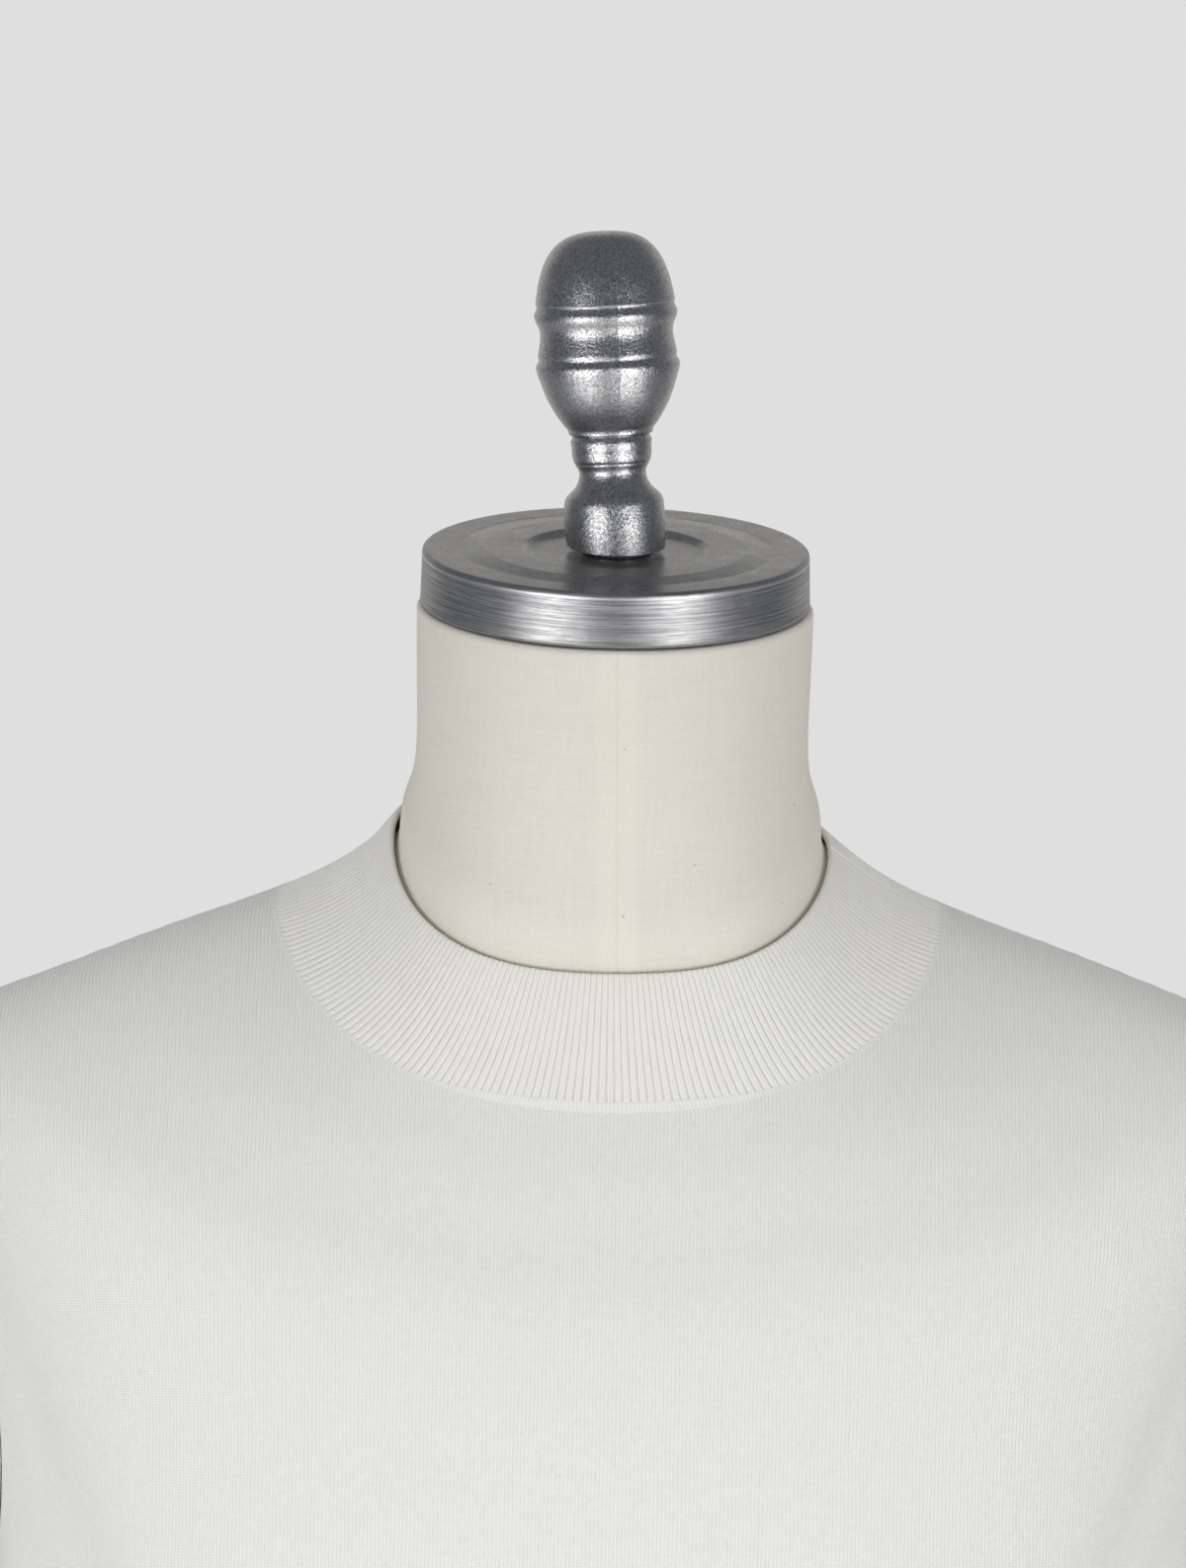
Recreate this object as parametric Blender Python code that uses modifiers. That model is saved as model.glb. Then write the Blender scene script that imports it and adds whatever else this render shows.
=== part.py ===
"""A knit t-shirt worn by a limbless dress form on a short stand.

Metres, +Z up. +X is the wearer's left, the front faces -Y, and the origin is the centre of the
base's underside. The cloth and the form share one family of level rings. A level is roughly the
way down the garment's side from the collar seam, in decimetres.
"""

import math
from collections import namedtuple

import bmesh
import bpy
import numpy as np
from mathutils import Matrix, Vector

# Driving dimensions
SIDE_NECK_HEIGHT = 0.860     # side neck point above the surface that the stand rests on
SEAM_GAP = 0.0003            # between pieces that meet
CLOTH_THICKNESS = 0.0013     # fine-gauge knit of the body and sleeves
COLLAR_THICKNESS = 0.0020    # doubled rib, up to the tops of its ribs
RIB_RELIEF = 0.0005
RIB_COUNT = 248
FORM_INSET = 0.0028          # of the form's rings, from the cloth's outer face
FORM_DROP = 0.0021

NECKLINE_LEVEL = -0.42
SHOULDER_LEVEL = 1.10
UNDERARM_LEVEL = 2.95
HEM_LEVEL = 7.45
SEAM_LEVEL = 0.0026          # of the panels' and the collar's edges, either side of level 0
COLLAR_LEVELS = [NECKLINE_LEVEL, -0.21, -0.042, -SEAM_LEVEL]   # its last strip has no ribs
FORM_LOWER_LEVELS = [3.5, 4.1, 4.7, 5.3, 5.9, 6.6, 7.3, 8.1]

ARMHOLE_SPREAD = math.radians(20)   # half angle that the armhole takes out of the body's ring
SLEEVE_FALL = math.radians(50)      # how far the cuff's axis points below the horizontal
CUFF_CENTRE = Vector((0.248, 0.004, -0.284))   # from the side neck height
CUFF_HALF_LENGTH = 0.060
CUFF_HALF_DEPTH = 0.046
SLEEVE_START_TOP = math.radians(21)        # how steeply the sleeve leaves the armhole, below the horizontal
SLEEVE_START_UNDERARM = math.radians(38)
SLEEVE_FLARE = 0.35                        # how far it swings to the front and the back as it leaves
SLEEVE_FULLNESS = 0.9                      # how far it keeps that way, as a share of its length
ARMHOLE_EASE = 0.0012                      # more gap at the armhole's front and back
UNDERARM_EASE = 0.0030

HEM_RIPPLE = 0.0045
RIDGE_ROUNDING = 0.3                # of a ring's bend at the shoulder, as a share of its depth
SEAM_BEHIND = math.radians(8)       # how far the shoulder seam lies behind the ridge at the collar

CAP_RADIUS = 0.0603
CAP_THICKNESS = 0.0178
CAP_TILT = math.radians(8.15)
DISH_DEPTH = 0.0012
FINIAL_LEAN = math.radians(-3.6)    # to the wearer's right
FINIAL_COLUMNS = 24
FOOT_CUT = 0.0020                   # height up to which the finial's foot slants with the cap

BASE_RADIUS = 0.155
BASE_THICKNESS = 0.014
BASE_BEVEL = 0.003
POLE_RADIUS = 0.019

# How finely the pieces are divided
PANEL_COLUMNS = 22
SIDE_CROWDING = 0.3          # how much closer columns stand at the sides than on average
SHOULDER_ROWS = 6
ARMHOLE_ROWS = 14
LOWER_ROWS = 7
SLEEVE_ROWS = 7
FORM_COLUMNS = 44
COLLAR_INNER_COLUMNS = 62

Ring = namedtuple("Ring", "level side_z half_width side_y front back front_drop back_rise ridge pinch")

# The cloth's outer face. Heights are from the side neck point. A ring's front and back are its
# depths from side_y. It falls by front_drop to the centre front and climbs by back_rise to the
# centre back, and the bend between the two is at ridge, a share of the depth ahead of the side.
# Pinch narrows its shoulders, or squares them where it is negative.
WORN = [
    Ring(-0.42, -0.0030, 0.0683, -0.0038, 0.0660, 0.0650, 0.0361, 0.0056, 0.02, -0.23),
    Ring(-0.21, -0.0128, 0.0859, -0.0034, 0.0735, 0.0730, 0.0487, -0.0034, 0.045, -0.20),
    Ring(0.00, -0.0199, 0.1050, -0.0018, 0.0824, 0.0820, 0.0598, -0.0101, 0.10, -0.16),
    Ring(0.44, -0.0328, 0.1440, -0.001, 0.0920, 0.0940, 0.0680, -0.0175, 0.16, -0.10),
    Ring(0.85, -0.0466, 0.1820, 0.000, 0.0995, 0.1015, 0.0735, -0.0265, 0.20, -0.05),
    Ring(1.10, -0.0559, 0.2035, 0.000, 0.1040, 0.1045, 0.0760, -0.0325, 0.20, -0.03),
    Ring(2.00, -0.1415, 0.2000, 0.002, 0.1160, 0.1070, 0.0470, -0.0230, 0.10, -0.15),
    Ring(2.95, -0.2450, 0.1890, 0.003, 0.1220, 0.1060, 0.0000, 0.0000, 0.00, -0.30),
    Ring(4.80, -0.4300, 0.1870, 0.003, 0.1220, 0.1100, 0.0000, 0.0000, 0.00, -0.28),
    Ring(7.45, -0.6950, 0.1900, 0.003, 0.1210, 0.1160, 0.0000, 0.0000, 0.00, -0.25),
]

# The form's neck above the collar, from its top down
NECK = [
    Ring(-1.22, 0.0673, 0.0614, -0.0080, 0.0605, 0.0605, 0.00866, 0.00866, 0.0, 0.0),
    Ring(-0.99, 0.0465, 0.0610, -0.0070, 0.0613, 0.0610, 0.0125, 0.0100, 0.0, -0.05),
    Ring(-0.78, 0.0266, 0.0606, -0.0060, 0.0620, 0.0615, 0.0188, 0.0090, 0.0, -0.12),
    Ring(-0.62, 0.0134, 0.0622, -0.0050, 0.0632, 0.0625, 0.0266, 0.0078, 0.0, -0.22),
    Ring(-0.51, 0.0048, 0.0646, -0.0042, 0.0644, 0.0634, 0.0330, 0.0066, 0.0, -0.28),
]

# The form from its shoulders down to its foot
TRUNK = [
    Ring(1.10, -0.0580, 0.1940, 0.000, 0.1012, 0.1017, 0.0760, -0.0325, 0.20, -0.03),
    Ring(2.00, -0.1436, 0.1800, 0.002, 0.1132, 0.1042, 0.0470, -0.0230, 0.10, -0.15),
    Ring(2.95, -0.2471, 0.1720, 0.003, 0.1192, 0.1032, 0.0000, 0.0000, 0.00, -0.30),
    Ring(4.70, -0.4200, 0.1500, 0.003, 0.0990, 0.0920, 0.0000, 0.0000, 0.00, -0.20),
    Ring(6.60, -0.6100, 0.1680, 0.003, 0.1080, 0.1040, 0.0000, 0.0000, 0.00, -0.18),
    Ring(8.10, -0.7570, 0.1600, 0.003, 0.1000, 0.1000, 0.0000, 0.0000, 0.00, -0.15),
]

Turned = namedtuple("Turned", "radius height")

# The finial's turned outline, from its tip down to the underside of its foot
FINIAL_OUTLINE = [
    Turned(0.0000, 0.0988), Turned(0.0055, 0.0984), Turned(0.0101, 0.0969), Turned(0.0150, 0.0934),
    Turned(0.0182, 0.0889), Turned(0.0203, 0.0836), Turned(0.0212, 0.0774), Turned(0.0220, 0.0735),
    Turned(0.0216, 0.0706), Turned(0.0205, 0.0669), Turned(0.0211, 0.0636), Turned(0.0214, 0.0608),
    Turned(0.0222, 0.0577), Turned(0.0216, 0.0545), Turned(0.0200, 0.0497), Turned(0.0182, 0.0455),
    Turned(0.0155, 0.0407), Turned(0.0131, 0.0370), Turned(0.0122, 0.0352), Turned(0.0122, 0.0292),
    Turned(0.0115, 0.0272), Turned(0.0105, 0.0256), Turned(0.0103, 0.0240), Turned(0.0112, 0.0209),
    Turned(0.0145, 0.0173), Turned(0.0155, 0.0140), Turned(0.0155, 0.0070), Turned(0.0150, 0.0018),
    Turned(0.0115, 0.0014), Turned(0.0110, 0.0000),
]

# The neck cap's turned outline, from the floor of its dish, with heights from its underside
CAP_OUTLINE = [
    Turned(0.0000, CAP_THICKNESS - DISH_DEPTH),
    Turned(0.0230, CAP_THICKNESS - DISH_DEPTH),
    Turned(0.0275, CAP_THICKNESS - 0.0010),
    Turned(0.0290, CAP_THICKNESS),
    Turned(0.0410, CAP_THICKNESS),
    Turned(0.0436, CAP_THICKNESS - 0.0006),
    Turned(0.0446, CAP_THICKNESS - 0.0004),
    Turned(0.0580, CAP_THICKNESS - 0.0004),
    Turned(CAP_RADIUS - 0.0009, CAP_THICKNESS - 0.0009),
    Turned(CAP_RADIUS - 0.0004, CAP_THICKNESS - 0.0020),
    Turned(CAP_RADIUS, 0.0010),
    Turned(CAP_RADIUS - 0.0008, 0.0),
    Turned(0.0000, 0.0),
]


def remove_everything():
    for item in list(bpy.data.objects):
        bpy.data.objects.remove(item, do_unlink=True)


def make_material(name, colour, roughness, metallic=0.0):
    material = bpy.data.materials.new(name)
    material.use_nodes = True
    shader = material.node_tree.nodes["Principled BSDF"]
    shader.inputs["Base Color"].default_value = (*colour, 1.0)
    shader.inputs["Roughness"].default_value = roughness
    shader.inputs["Metallic"].default_value = metallic
    return material


# The level rings

def slopes(levels, values):
    """The slopes at the levels of the smoothest curve through the values."""
    count = len(levels)
    weights = np.zeros((count, count))
    sums = np.zeros(count)
    for i in range(count):
        for near, far in ((i, i - 1), (i, i + 1)):
            if 0 <= far < count:
                span = abs(levels[far] - levels[near])
                climb = (values[far] - values[near]) / (levels[far] - levels[near])
                weights[i, i] += 2 / span
                weights[i, far] += 1 / span
                sums[i] += 3 * climb / span
    return np.linalg.solve(weights, sums)


def curves_of(rings):
    """Each column of a table with its slopes, and the levels."""
    levels = [ring.level for ring in rings]
    columns = [[getattr(ring, name) for ring in rings] for name in Ring._fields[1:]]
    return levels, [(values, slopes(levels, values)) for values in columns]


def ring_at(curves, level):
    """The ring at any level, by a smooth curve through each column of the table."""
    levels, columns = curves
    low = max(i for i in range(len(levels) - 1) if i == 0 or levels[i] <= level)
    span = levels[low + 1] - levels[low]
    t = (level - levels[low]) / span
    found = [level]
    for values, slope in columns:
        found.append(
            values[low] * (2 * t**3 - 3 * t**2 + 1) + slope[low] * span * (t**3 - 2 * t**2 + t)
            + values[low + 1] * (3 * t**2 - 2 * t**3) + slope[low + 1] * span * (t**3 - t**2)
        )
    return Ring(*found)


def fall(ring, ahead):
    """How far a ring falls at a share of its depth ahead of the side, bending at its ridge."""
    def rounded(share):
        return (share + math.hypot(share, RIDGE_ROUNDING)) / 2
    behind, before = rounded(-1 - ring.ridge), rounded(1 - ring.ridge)
    bend = (rounded(ahead - ring.ridge) - behind) / (before - behind)
    level_part = ring.back_rise * ahead
    return level_part + (ring.front_drop - ring.back_rise) * bend


def on_ring(ring, angle):
    """A point of a ring. Angle 0 is the centre front, 90 degrees the wearer's left side."""
    ahead = math.cos(angle) * (1 - ring.pinch * math.sin(angle) ** 2)
    depth = (ring.front + ring.back) / 2 + (ring.front - ring.back) / 2 * ahead
    return Vector((
        ring.half_width * math.sin(angle),
        ring.side_y - depth * ahead,
        SIDE_NECK_HEIGHT + ring.side_z - fall(ring, ahead),
    ))


def ripple(level, angle):
    """Soft upright folds that grow from the underarms down to the hem."""
    share = min(max((level - UNDERARM_LEVEL) / (HEM_LEVEL - UNDERARM_LEVEL), 0.0), 1.0)
    wave = 0.6 * math.sin(5 * angle + 0.7) + 0.4 * math.sin(9 * angle + 2.1)
    return HEM_RIPPLE * share * share * (3 - 2 * share) * wave


WORN_CURVES = curves_of(WORN)


def worn(level, angle):
    """A point of the cloth's outer face."""
    point = on_ring(ring_at(WORN_CURVES, level), angle)
    return point + Vector((math.sin(angle), -math.cos(angle), 0.0)) * ripple(level, angle)


def outward(level, angle):
    """The outward normal of the cloth there."""
    step = 0.01
    low, high = max(level - step, NECKLINE_LEVEL), min(level + step, HEM_LEVEL)
    along = worn(high, angle) - worn(low, angle)
    around = worn(level, angle + step) - worn(level, angle - step)
    return around.cross(along).normalized() * -1.0


def inset(ring):
    """A ring of the form under a ring of the cloth."""
    return ring._replace(
        side_z=ring.side_z - FORM_DROP,
        half_width=ring.half_width - FORM_INSET,
        front=ring.front - FORM_INSET,
        back=ring.back - FORM_INSET,
    )


# Closed bodies from grids of points

class Body:
    """Gathers points and faces, and makes them one closed mesh object."""

    def __init__(self):
        self.points = []
        self.faces = []

    def add(self, rows):
        """Adds rows of points and gives their numbers in the same rows."""
        numbers = []
        for row in rows:
            numbers.append(list(range(len(self.points), len(self.points) + len(row))))
            self.points.extend(row)
        return numbers

    def skin(self, rows, wrapped):
        """Faces between neighbouring rows."""
        for upper, lower in zip(rows, rows[1:]):
            self.strip(upper, lower, wrapped)

    def strip(self, one, other, wrapped):
        """Faces between two lines. One may have a whole number of points for each of the other."""
        if len(one) > len(other):
            one, other = other, one
        share = len(other) // len(one) if wrapped else (len(other) - 1) // (len(one) - 1)
        count = len(one) if wrapped else len(one) - 1
        for i in range(count):
            here, there = one[i], one[(i + 1) % len(one)]
            fan = [other[(i * share + j) % len(other)] for j in range(share + 1)]
            if share == 1:
                self.faces.append([here, there, fan[1], fan[0]])
                continue
            middle = share // 2
            for j in range(share):
                self.faces.append([here if j < middle else there, fan[j + 1], fan[j]])
            self.faces.append([here, there, fan[middle]])

    def make(self, name, material, collection):
        mesh = bpy.data.meshes.new(name)
        mesh.from_pydata(self.points, [], self.faces)
        work = bmesh.new()
        work.from_mesh(mesh)
        bmesh.ops.recalc_face_normals(work, faces=work.faces)
        work.to_mesh(mesh)
        work.free()
        mesh.materials.append(material)
        mesh.shade_smooth()
        mesh.set_sharp_from_angle(angle=math.radians(50))
        piece = bpy.data.objects.new(name, mesh)
        collection.objects.link(piece)
        return piece


def make_wall(name, inner, outer, wrapped, material, collection):
    """A wall between an inner and an outer grid of points, closed all round its edges."""
    body = Body()
    inside, outside = body.add(inner), body.add(outer)
    body.skin(inside, wrapped)
    body.skin(outside, wrapped)
    for row in (0, -1):
        body.strip(inside[row], outside[row], wrapped)
    if not wrapped:
        for column in (0, -1):
            body.strip([row[column] for row in inside], [row[column] for row in outside], False)
    return body.make(name, material, collection)


# The t-shirt

def armhole_row(step):
    """The level and the armhole's half angle at a step from the shoulder point down to the underarm."""
    turn = math.pi * step / ARMHOLE_ROWS
    share = (1 - math.cos(turn)) / 2
    return SHOULDER_LEVEL + (UNDERARM_LEVEL - SHOULDER_LEVEL) * share, ARMHOLE_SPREAD * math.sin(turn)


def panel_rows():
    """Each row's level and armhole half angle, from the collar seam to the hem."""
    shoulder = [SHOULDER_LEVEL * step / SHOULDER_ROWS for step in range(SHOULDER_ROWS)]
    rows = [(max(level, SEAM_LEVEL), 0.0) for level in shoulder]
    rows += [armhole_row(step) for step in range(ARMHOLE_ROWS + 1)]
    drop = (HEM_LEVEL - UNDERARM_LEVEL) / LOWER_ROWS
    rows += [(UNDERARM_LEVEL + drop * (step + 1), 0.0) for step in range(LOWER_ROWS)]
    return rows


def seam_gap_angle(level):
    """The angle that half a seam's gap takes up at the body's side."""
    step = 0.001
    rate = (worn(level, math.pi / 2 + step) - worn(level, math.pi / 2 - step)).length / (2 * step)
    return SEAM_GAP / 2 / rate


def seam_behind(level):
    """How far the shoulder seam lies behind the side: most at the collar, and none at the armhole."""
    return SEAM_BEHIND * max(1 - max(level, 0.0) / SHOULDER_LEVEL, 0.0)


def crowded(share):
    """Moves a share from -1 to 1 of the way across a panel towards its sides."""
    return share + SIDE_CROWDING * math.sin(math.pi * share) / math.pi


def make_panel(name, facing, material, collection):
    """The front or the back. Facing is the angle of its centre line, 0 or 180 degrees."""
    inner, outer = [], []
    for level, spread in panel_rows():
        half = math.pi / 2 + math.cos(facing) * seam_behind(level)
        half -= max(spread, seam_gap_angle(level))
        columns = PANEL_COLUMNS if outer else 2 * PANEL_COLUMNS
        angles = [facing + half * crowded(2 * column / columns - 1) for column in range(columns + 1)]
        outer.append([worn(level, angle) for angle in angles])
        inner.append([worn(level, angle) - outward(level, angle) * CLOTH_THICKNESS for angle in angles])
    return make_wall(name, inner, outer, False, material, collection)


def armhole_ring():
    """Points round the left armhole, from the shoulder point down its front and up its back."""
    points = []
    for step in range(2 * ARMHOLE_ROWS):
        down = step if step <= ARMHOLE_ROWS else 2 * ARMHOLE_ROWS - step
        level, spread = armhole_row(down)
        side = -1 if step <= ARMHOLE_ROWS else 1
        points.append((level, math.pi / 2 + side * spread, 2 * math.pi * step / (2 * ARMHOLE_ROWS)))
    return points


def sleeve_grid():
    """The left sleeve's outer face, ring by ring from the armhole to the cuff."""
    axis = Vector((math.cos(SLEEVE_FALL), 0.0, -math.sin(SLEEVE_FALL)))
    up = Vector((math.sin(SLEEVE_FALL), 0.0, math.cos(SLEEVE_FALL)))
    centre = CUFF_CENTRE + Vector((0.0, 0.0, SIDE_NECK_HEIGHT))
    columns = []
    for level, angle, turn in armhole_ring():
        lowness = (1 - math.cos(turn)) / 2
        pitch = SLEEVE_START_TOP + (SLEEVE_START_UNDERARM - SLEEVE_START_TOP) * lowness
        leave = Vector((math.cos(pitch), SLEEVE_FLARE * math.sin(turn), -math.sin(pitch))).normalized()
        gap = SEAM_GAP + ARMHOLE_EASE * abs(math.sin(turn)) + UNDERARM_EASE * lowness**2
        start = worn(level, angle) + leave * gap
        end = centre + up * CUFF_HALF_LENGTH * math.cos(turn)
        end.y -= CUFF_HALF_DEPTH * math.sin(turn)
        reach = (end - start).length * SLEEVE_FULLNESS
        column = []
        for row in range(SLEEVE_ROWS + 1):
            t = row / SLEEVE_ROWS
            column.append(
                start * (2 * t**3 - 3 * t**2 + 1) + leave * reach * (t**3 - 2 * t**2 + t)
                + end * (3 * t**2 - 2 * t**3) + axis * reach * (t**3 - t**2)
            )
        columns.append(column)
    return [[column[row] for column in columns] for row in range(SLEEVE_ROWS + 1)]


def grid_normals(grid):
    """The outward normals of a wrapped grid of points."""
    normals = []
    last = len(grid) - 1
    for i, row in enumerate(grid):
        line = []
        for j in range(len(row)):
            around = row[(j + 1) % len(row)] - row[j - 1]
            along = grid[min(i + 1, last)][j] - grid[max(i - 1, 0)][j]
            line.append(around.cross(along).normalized())
        normals.append(line)
    return normals


def make_sleeve(name, side, material, collection):
    """A sleeve on the wearer's left, side 1, or right, side -1."""
    outer = sleeve_grid()
    inner = [
        [point - normal * CLOTH_THICKNESS for point, normal in zip(row, line)]
        for row, line in zip(outer, grid_normals(outer))
    ]
    mirror = Matrix.Diagonal((side, 1.0, 1.0))
    inner = [[mirror @ point for point in row] for row in inner]
    outer = [[mirror @ point for point in row] for row in outer]
    return make_wall(name, inner, outer, True, material, collection)


def even_angles(ring, count):
    """Angles that cut a ring into equal lengths."""
    fine = 1440
    lengths = [0.0]
    for i in range(fine):
        here = on_ring(ring, 2 * math.pi * i / fine)
        there = on_ring(ring, 2 * math.pi * (i + 1) / fine)
        lengths.append(lengths[-1] + (there - here).length)
    angles, i = [], 0
    for number in range(count):
        wanted = lengths[-1] * number / count
        while lengths[i + 1] < wanted:
            i += 1
        part = (wanted - lengths[i]) / (lengths[i + 1] - lengths[i])
        angles.append(2 * math.pi * (i + part) / fine)
    return angles


def make_collar(material, collection):
    """The ribbed band round the neck: ribs stand on its outer face, and its inner face is plain."""
    middle = ring_at(WORN_CURVES, NECKLINE_LEVEL / 2)
    fine = even_angles(middle, 2 * RIB_COUNT)
    plain = fine[::2 * RIB_COUNT // COLLAR_INNER_COLUMNS]
    inner, outer = [], []
    for level in COLLAR_LEVELS:
        inner.append([worn(level, angle) - outward(level, angle) * COLLAR_THICKNESS for angle in plain])
        line = []
        for number, angle in enumerate(fine):
            depth = RIB_RELIEF * (number % 2) if level < COLLAR_LEVELS[-1] else 0.0
            line.append(worn(level, angle) - outward(level, angle) * depth)
        outer.append(line)
    body = Body()
    inside, outside = body.add(inner), body.add(outer)
    body.skin(inside, True)
    body.skin(outside, True)
    for row in (0, -1):
        body.strip(inside[row], outside[row], True)
    return body.make("collar", material, collection)


# The dress form

def form_levels():
    """Levels of the form's rings: its own on the neck and the trunk, and the cloth's between them."""
    levels = [ring.level for ring in NECK] + COLLAR_LEVELS[:-1]
    levels += [SHOULDER_LEVEL * step / SHOULDER_ROWS for step in range(SHOULDER_ROWS)]
    levels += [armhole_row(step)[0] for step in range(0, ARMHOLE_ROWS + 1, 2)]
    return levels + FORM_LOWER_LEVELS


def make_torso(material, collection):
    """The canvas-covered trunk and neck in one, with a flat tilted top for the cap and a flat foot."""
    curves = curves_of(NECK + [inset(ring) for ring in WORN if ring.level < SHOULDER_LEVEL] + TRUNK)
    body = Body()
    rows = []
    turns = [2 * math.pi * i / FORM_COLUMNS for i in range(FORM_COLUMNS)]
    angles = [turn + SIDE_CROWDING / 2 * math.sin(2 * turn) for turn in turns]
    for level in form_levels():
        ring = ring_at(curves, level)
        rows.append([on_ring(ring, angle) for angle in angles])
    numbers = body.add(rows)
    body.skin(numbers, True)
    body.faces.append(numbers[0])
    body.faces.append(numbers[-1])
    return body.make("form_torso", material, collection)


def make_turned(name, outline, steps, material, collection):
    """A turned piece about its own Z, from an outline that runs from its top to its underside."""
    mesh = bpy.data.meshes.new(name)
    points = [(turned.radius, 0.0, turned.height) for turned in outline]
    mesh.from_pydata(points, [(i, i + 1) for i in range(len(points) - 1)], [])
    mesh.materials.append(material)
    piece = bpy.data.objects.new(name, mesh)
    collection.objects.link(piece)
    screw = piece.modifiers.new("turn", "SCREW")
    screw.steps = steps
    screw.render_steps = steps
    screw.use_merge_vertices = True
    screw.merge_threshold = 0.00001
    screw.use_smooth_shade = True
    return piece


def neck_top():
    """The frame of the neck's top: its centre, with Z along the neck."""
    ring = NECK[0]
    centre = Vector((0.0, ring.side_y, SIDE_NECK_HEIGHT + ring.side_z))
    return Matrix.Translation(centre) @ Matrix.Rotation(CAP_TILT, 4, "X")


def make_cap(material, collection):
    cap = make_turned("neck_cap", CAP_OUTLINE, 40, material, collection)
    cap.matrix_world = neck_top() @ Matrix.Translation((0.0, 0.0, SEAM_GAP))
    return cap


def make_finial(material, collection):
    """Upright on the tilted cap, so the underside of its foot slants with the dish."""
    dish = neck_top() @ Matrix.Translation((0.0, 0.0, CAP_THICKNESS - DISH_DEPTH + 2 * SEAM_GAP))
    stand = Matrix.Translation(dish.translation) @ Matrix.Rotation(FINIAL_LEAN, 4, "Y")
    facing = stand.to_3x3().inverted() @ dish.to_3x3().col[2]
    turns = [2 * math.pi * i / FINIAL_COLUMNS for i in range(FINIAL_COLUMNS)]
    rows = []
    for turned in FINIAL_OUTLINE[1:]:
        row = [Vector((math.sin(turn), -math.cos(turn), 0.0)) * turned.radius for turn in turns]
        for point in row:
            slant = point.dot(facing) / facing.z if turned.height < FOOT_CUT else 0.0
            point.z = turned.height - slant
        rows.append([stand @ point for point in row])
    body = Body()
    tip = body.add([[stand @ Vector((0.0, 0.0, FINIAL_OUTLINE[0].height))]])[0][0]
    numbers = body.add(rows)
    top = numbers[0]
    body.faces.extend([tip, one, other] for one, other in zip(top, top[1:] + top[:1]))
    body.skin(numbers, True)
    body.faces.append(numbers[-1])
    return body.make("finial", material, collection)


def make_stand(metal, collection):
    foot = SIDE_NECK_HEIGHT + TRUNK[-1].side_z
    base_outline = [
        Turned(0.0, BASE_THICKNESS), Turned(BASE_RADIUS - BASE_BEVEL, BASE_THICKNESS),
        Turned(BASE_RADIUS, BASE_THICKNESS - BASE_BEVEL), Turned(BASE_RADIUS, 0.0), Turned(0.0, 0.0),
    ]
    make_turned("stand_base", base_outline, 48, metal, collection)
    length = foot - BASE_THICKNESS - 2 * SEAM_GAP
    pole_outline = [
        Turned(0.0, length), Turned(POLE_RADIUS, length), Turned(POLE_RADIUS, 0.0), Turned(0.0, 0.0),
    ]
    pole = make_turned("stand_pole", pole_outline, 28, metal, collection)
    pole.location = (0.0, 0.0, BASE_THICKNESS + SEAM_GAP)


def main():
    remove_everything()
    collection = bpy.data.collections.new("knit_tshirt_on_dress_form")
    bpy.context.scene.collection.children.link(collection)
    knit = make_material("ivory_knit", (0.80, 0.79, 0.75), 0.9)
    rib = make_material("ivory_rib", (0.80, 0.78, 0.73), 0.9)
    canvas = make_material("canvas", (0.74, 0.70, 0.62), 0.9)
    pewter = make_material("pewter", (0.32, 0.33, 0.34), 0.35, 1.0)
    steel = make_material("painted_steel", (0.20, 0.20, 0.21), 0.45, 0.6)
    make_panel("front", 0.0, knit, collection)
    make_panel("back", math.pi, knit, collection)
    make_sleeve("sleeve_left", 1, knit, collection)
    make_sleeve("sleeve_right", -1, knit, collection)
    make_collar(rib, collection)
    make_torso(canvas, collection)
    make_cap(pewter, collection)
    make_finial(pewter, collection)
    make_stand(steel, collection)


main()
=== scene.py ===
"""Looks of the knit t-shirt on its dress form: fine shells, their finishes and the studio.

Metres, +Z up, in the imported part's frame. +X is the wearer's left and the front faces -Y. The cloth
and the form share one family of level rings, as the solids do. A level is roughly the way down the
garment's side from the collar seam, in decimetres.
"""

from collections import namedtuple
from functools import partialmethod
from math import cos, pi, radians, sin, tan

import bpy
import numpy as np
from mathutils import Matrix, Vector, noise
from mathutils.kdtree import KDTree

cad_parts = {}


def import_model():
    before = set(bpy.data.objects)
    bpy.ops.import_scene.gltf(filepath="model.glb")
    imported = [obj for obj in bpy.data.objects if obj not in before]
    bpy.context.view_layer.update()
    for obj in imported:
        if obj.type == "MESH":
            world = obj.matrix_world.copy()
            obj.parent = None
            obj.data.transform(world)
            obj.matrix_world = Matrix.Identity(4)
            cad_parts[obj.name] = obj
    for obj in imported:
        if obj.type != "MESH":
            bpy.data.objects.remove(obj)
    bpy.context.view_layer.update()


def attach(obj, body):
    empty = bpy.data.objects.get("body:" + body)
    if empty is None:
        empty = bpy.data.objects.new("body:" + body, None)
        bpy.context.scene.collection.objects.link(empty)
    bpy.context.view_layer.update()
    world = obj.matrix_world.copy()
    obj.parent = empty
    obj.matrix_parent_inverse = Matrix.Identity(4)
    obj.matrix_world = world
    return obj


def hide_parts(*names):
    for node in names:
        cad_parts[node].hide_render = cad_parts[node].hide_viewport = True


# Sizes. They are the solids' own, but for some that follow the photo more closely by up to 3 mm:
# the form's inset and drop, the armholes' spread, the neck's lower rings and the turned outlines.
SIDE_NECK_HEIGHT = 0.860
SEAM_GAP = 0.0003
CLOTH_THICKNESS = 0.0013
COLLAR_THICKNESS = 0.0020
RIB_COUNT = 248
FORM_INSET = 0.00205
FORM_DROP = 0.0009
NECKLINE_LEVEL = -0.42
SHOULDER_LEVEL = 1.10
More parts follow.
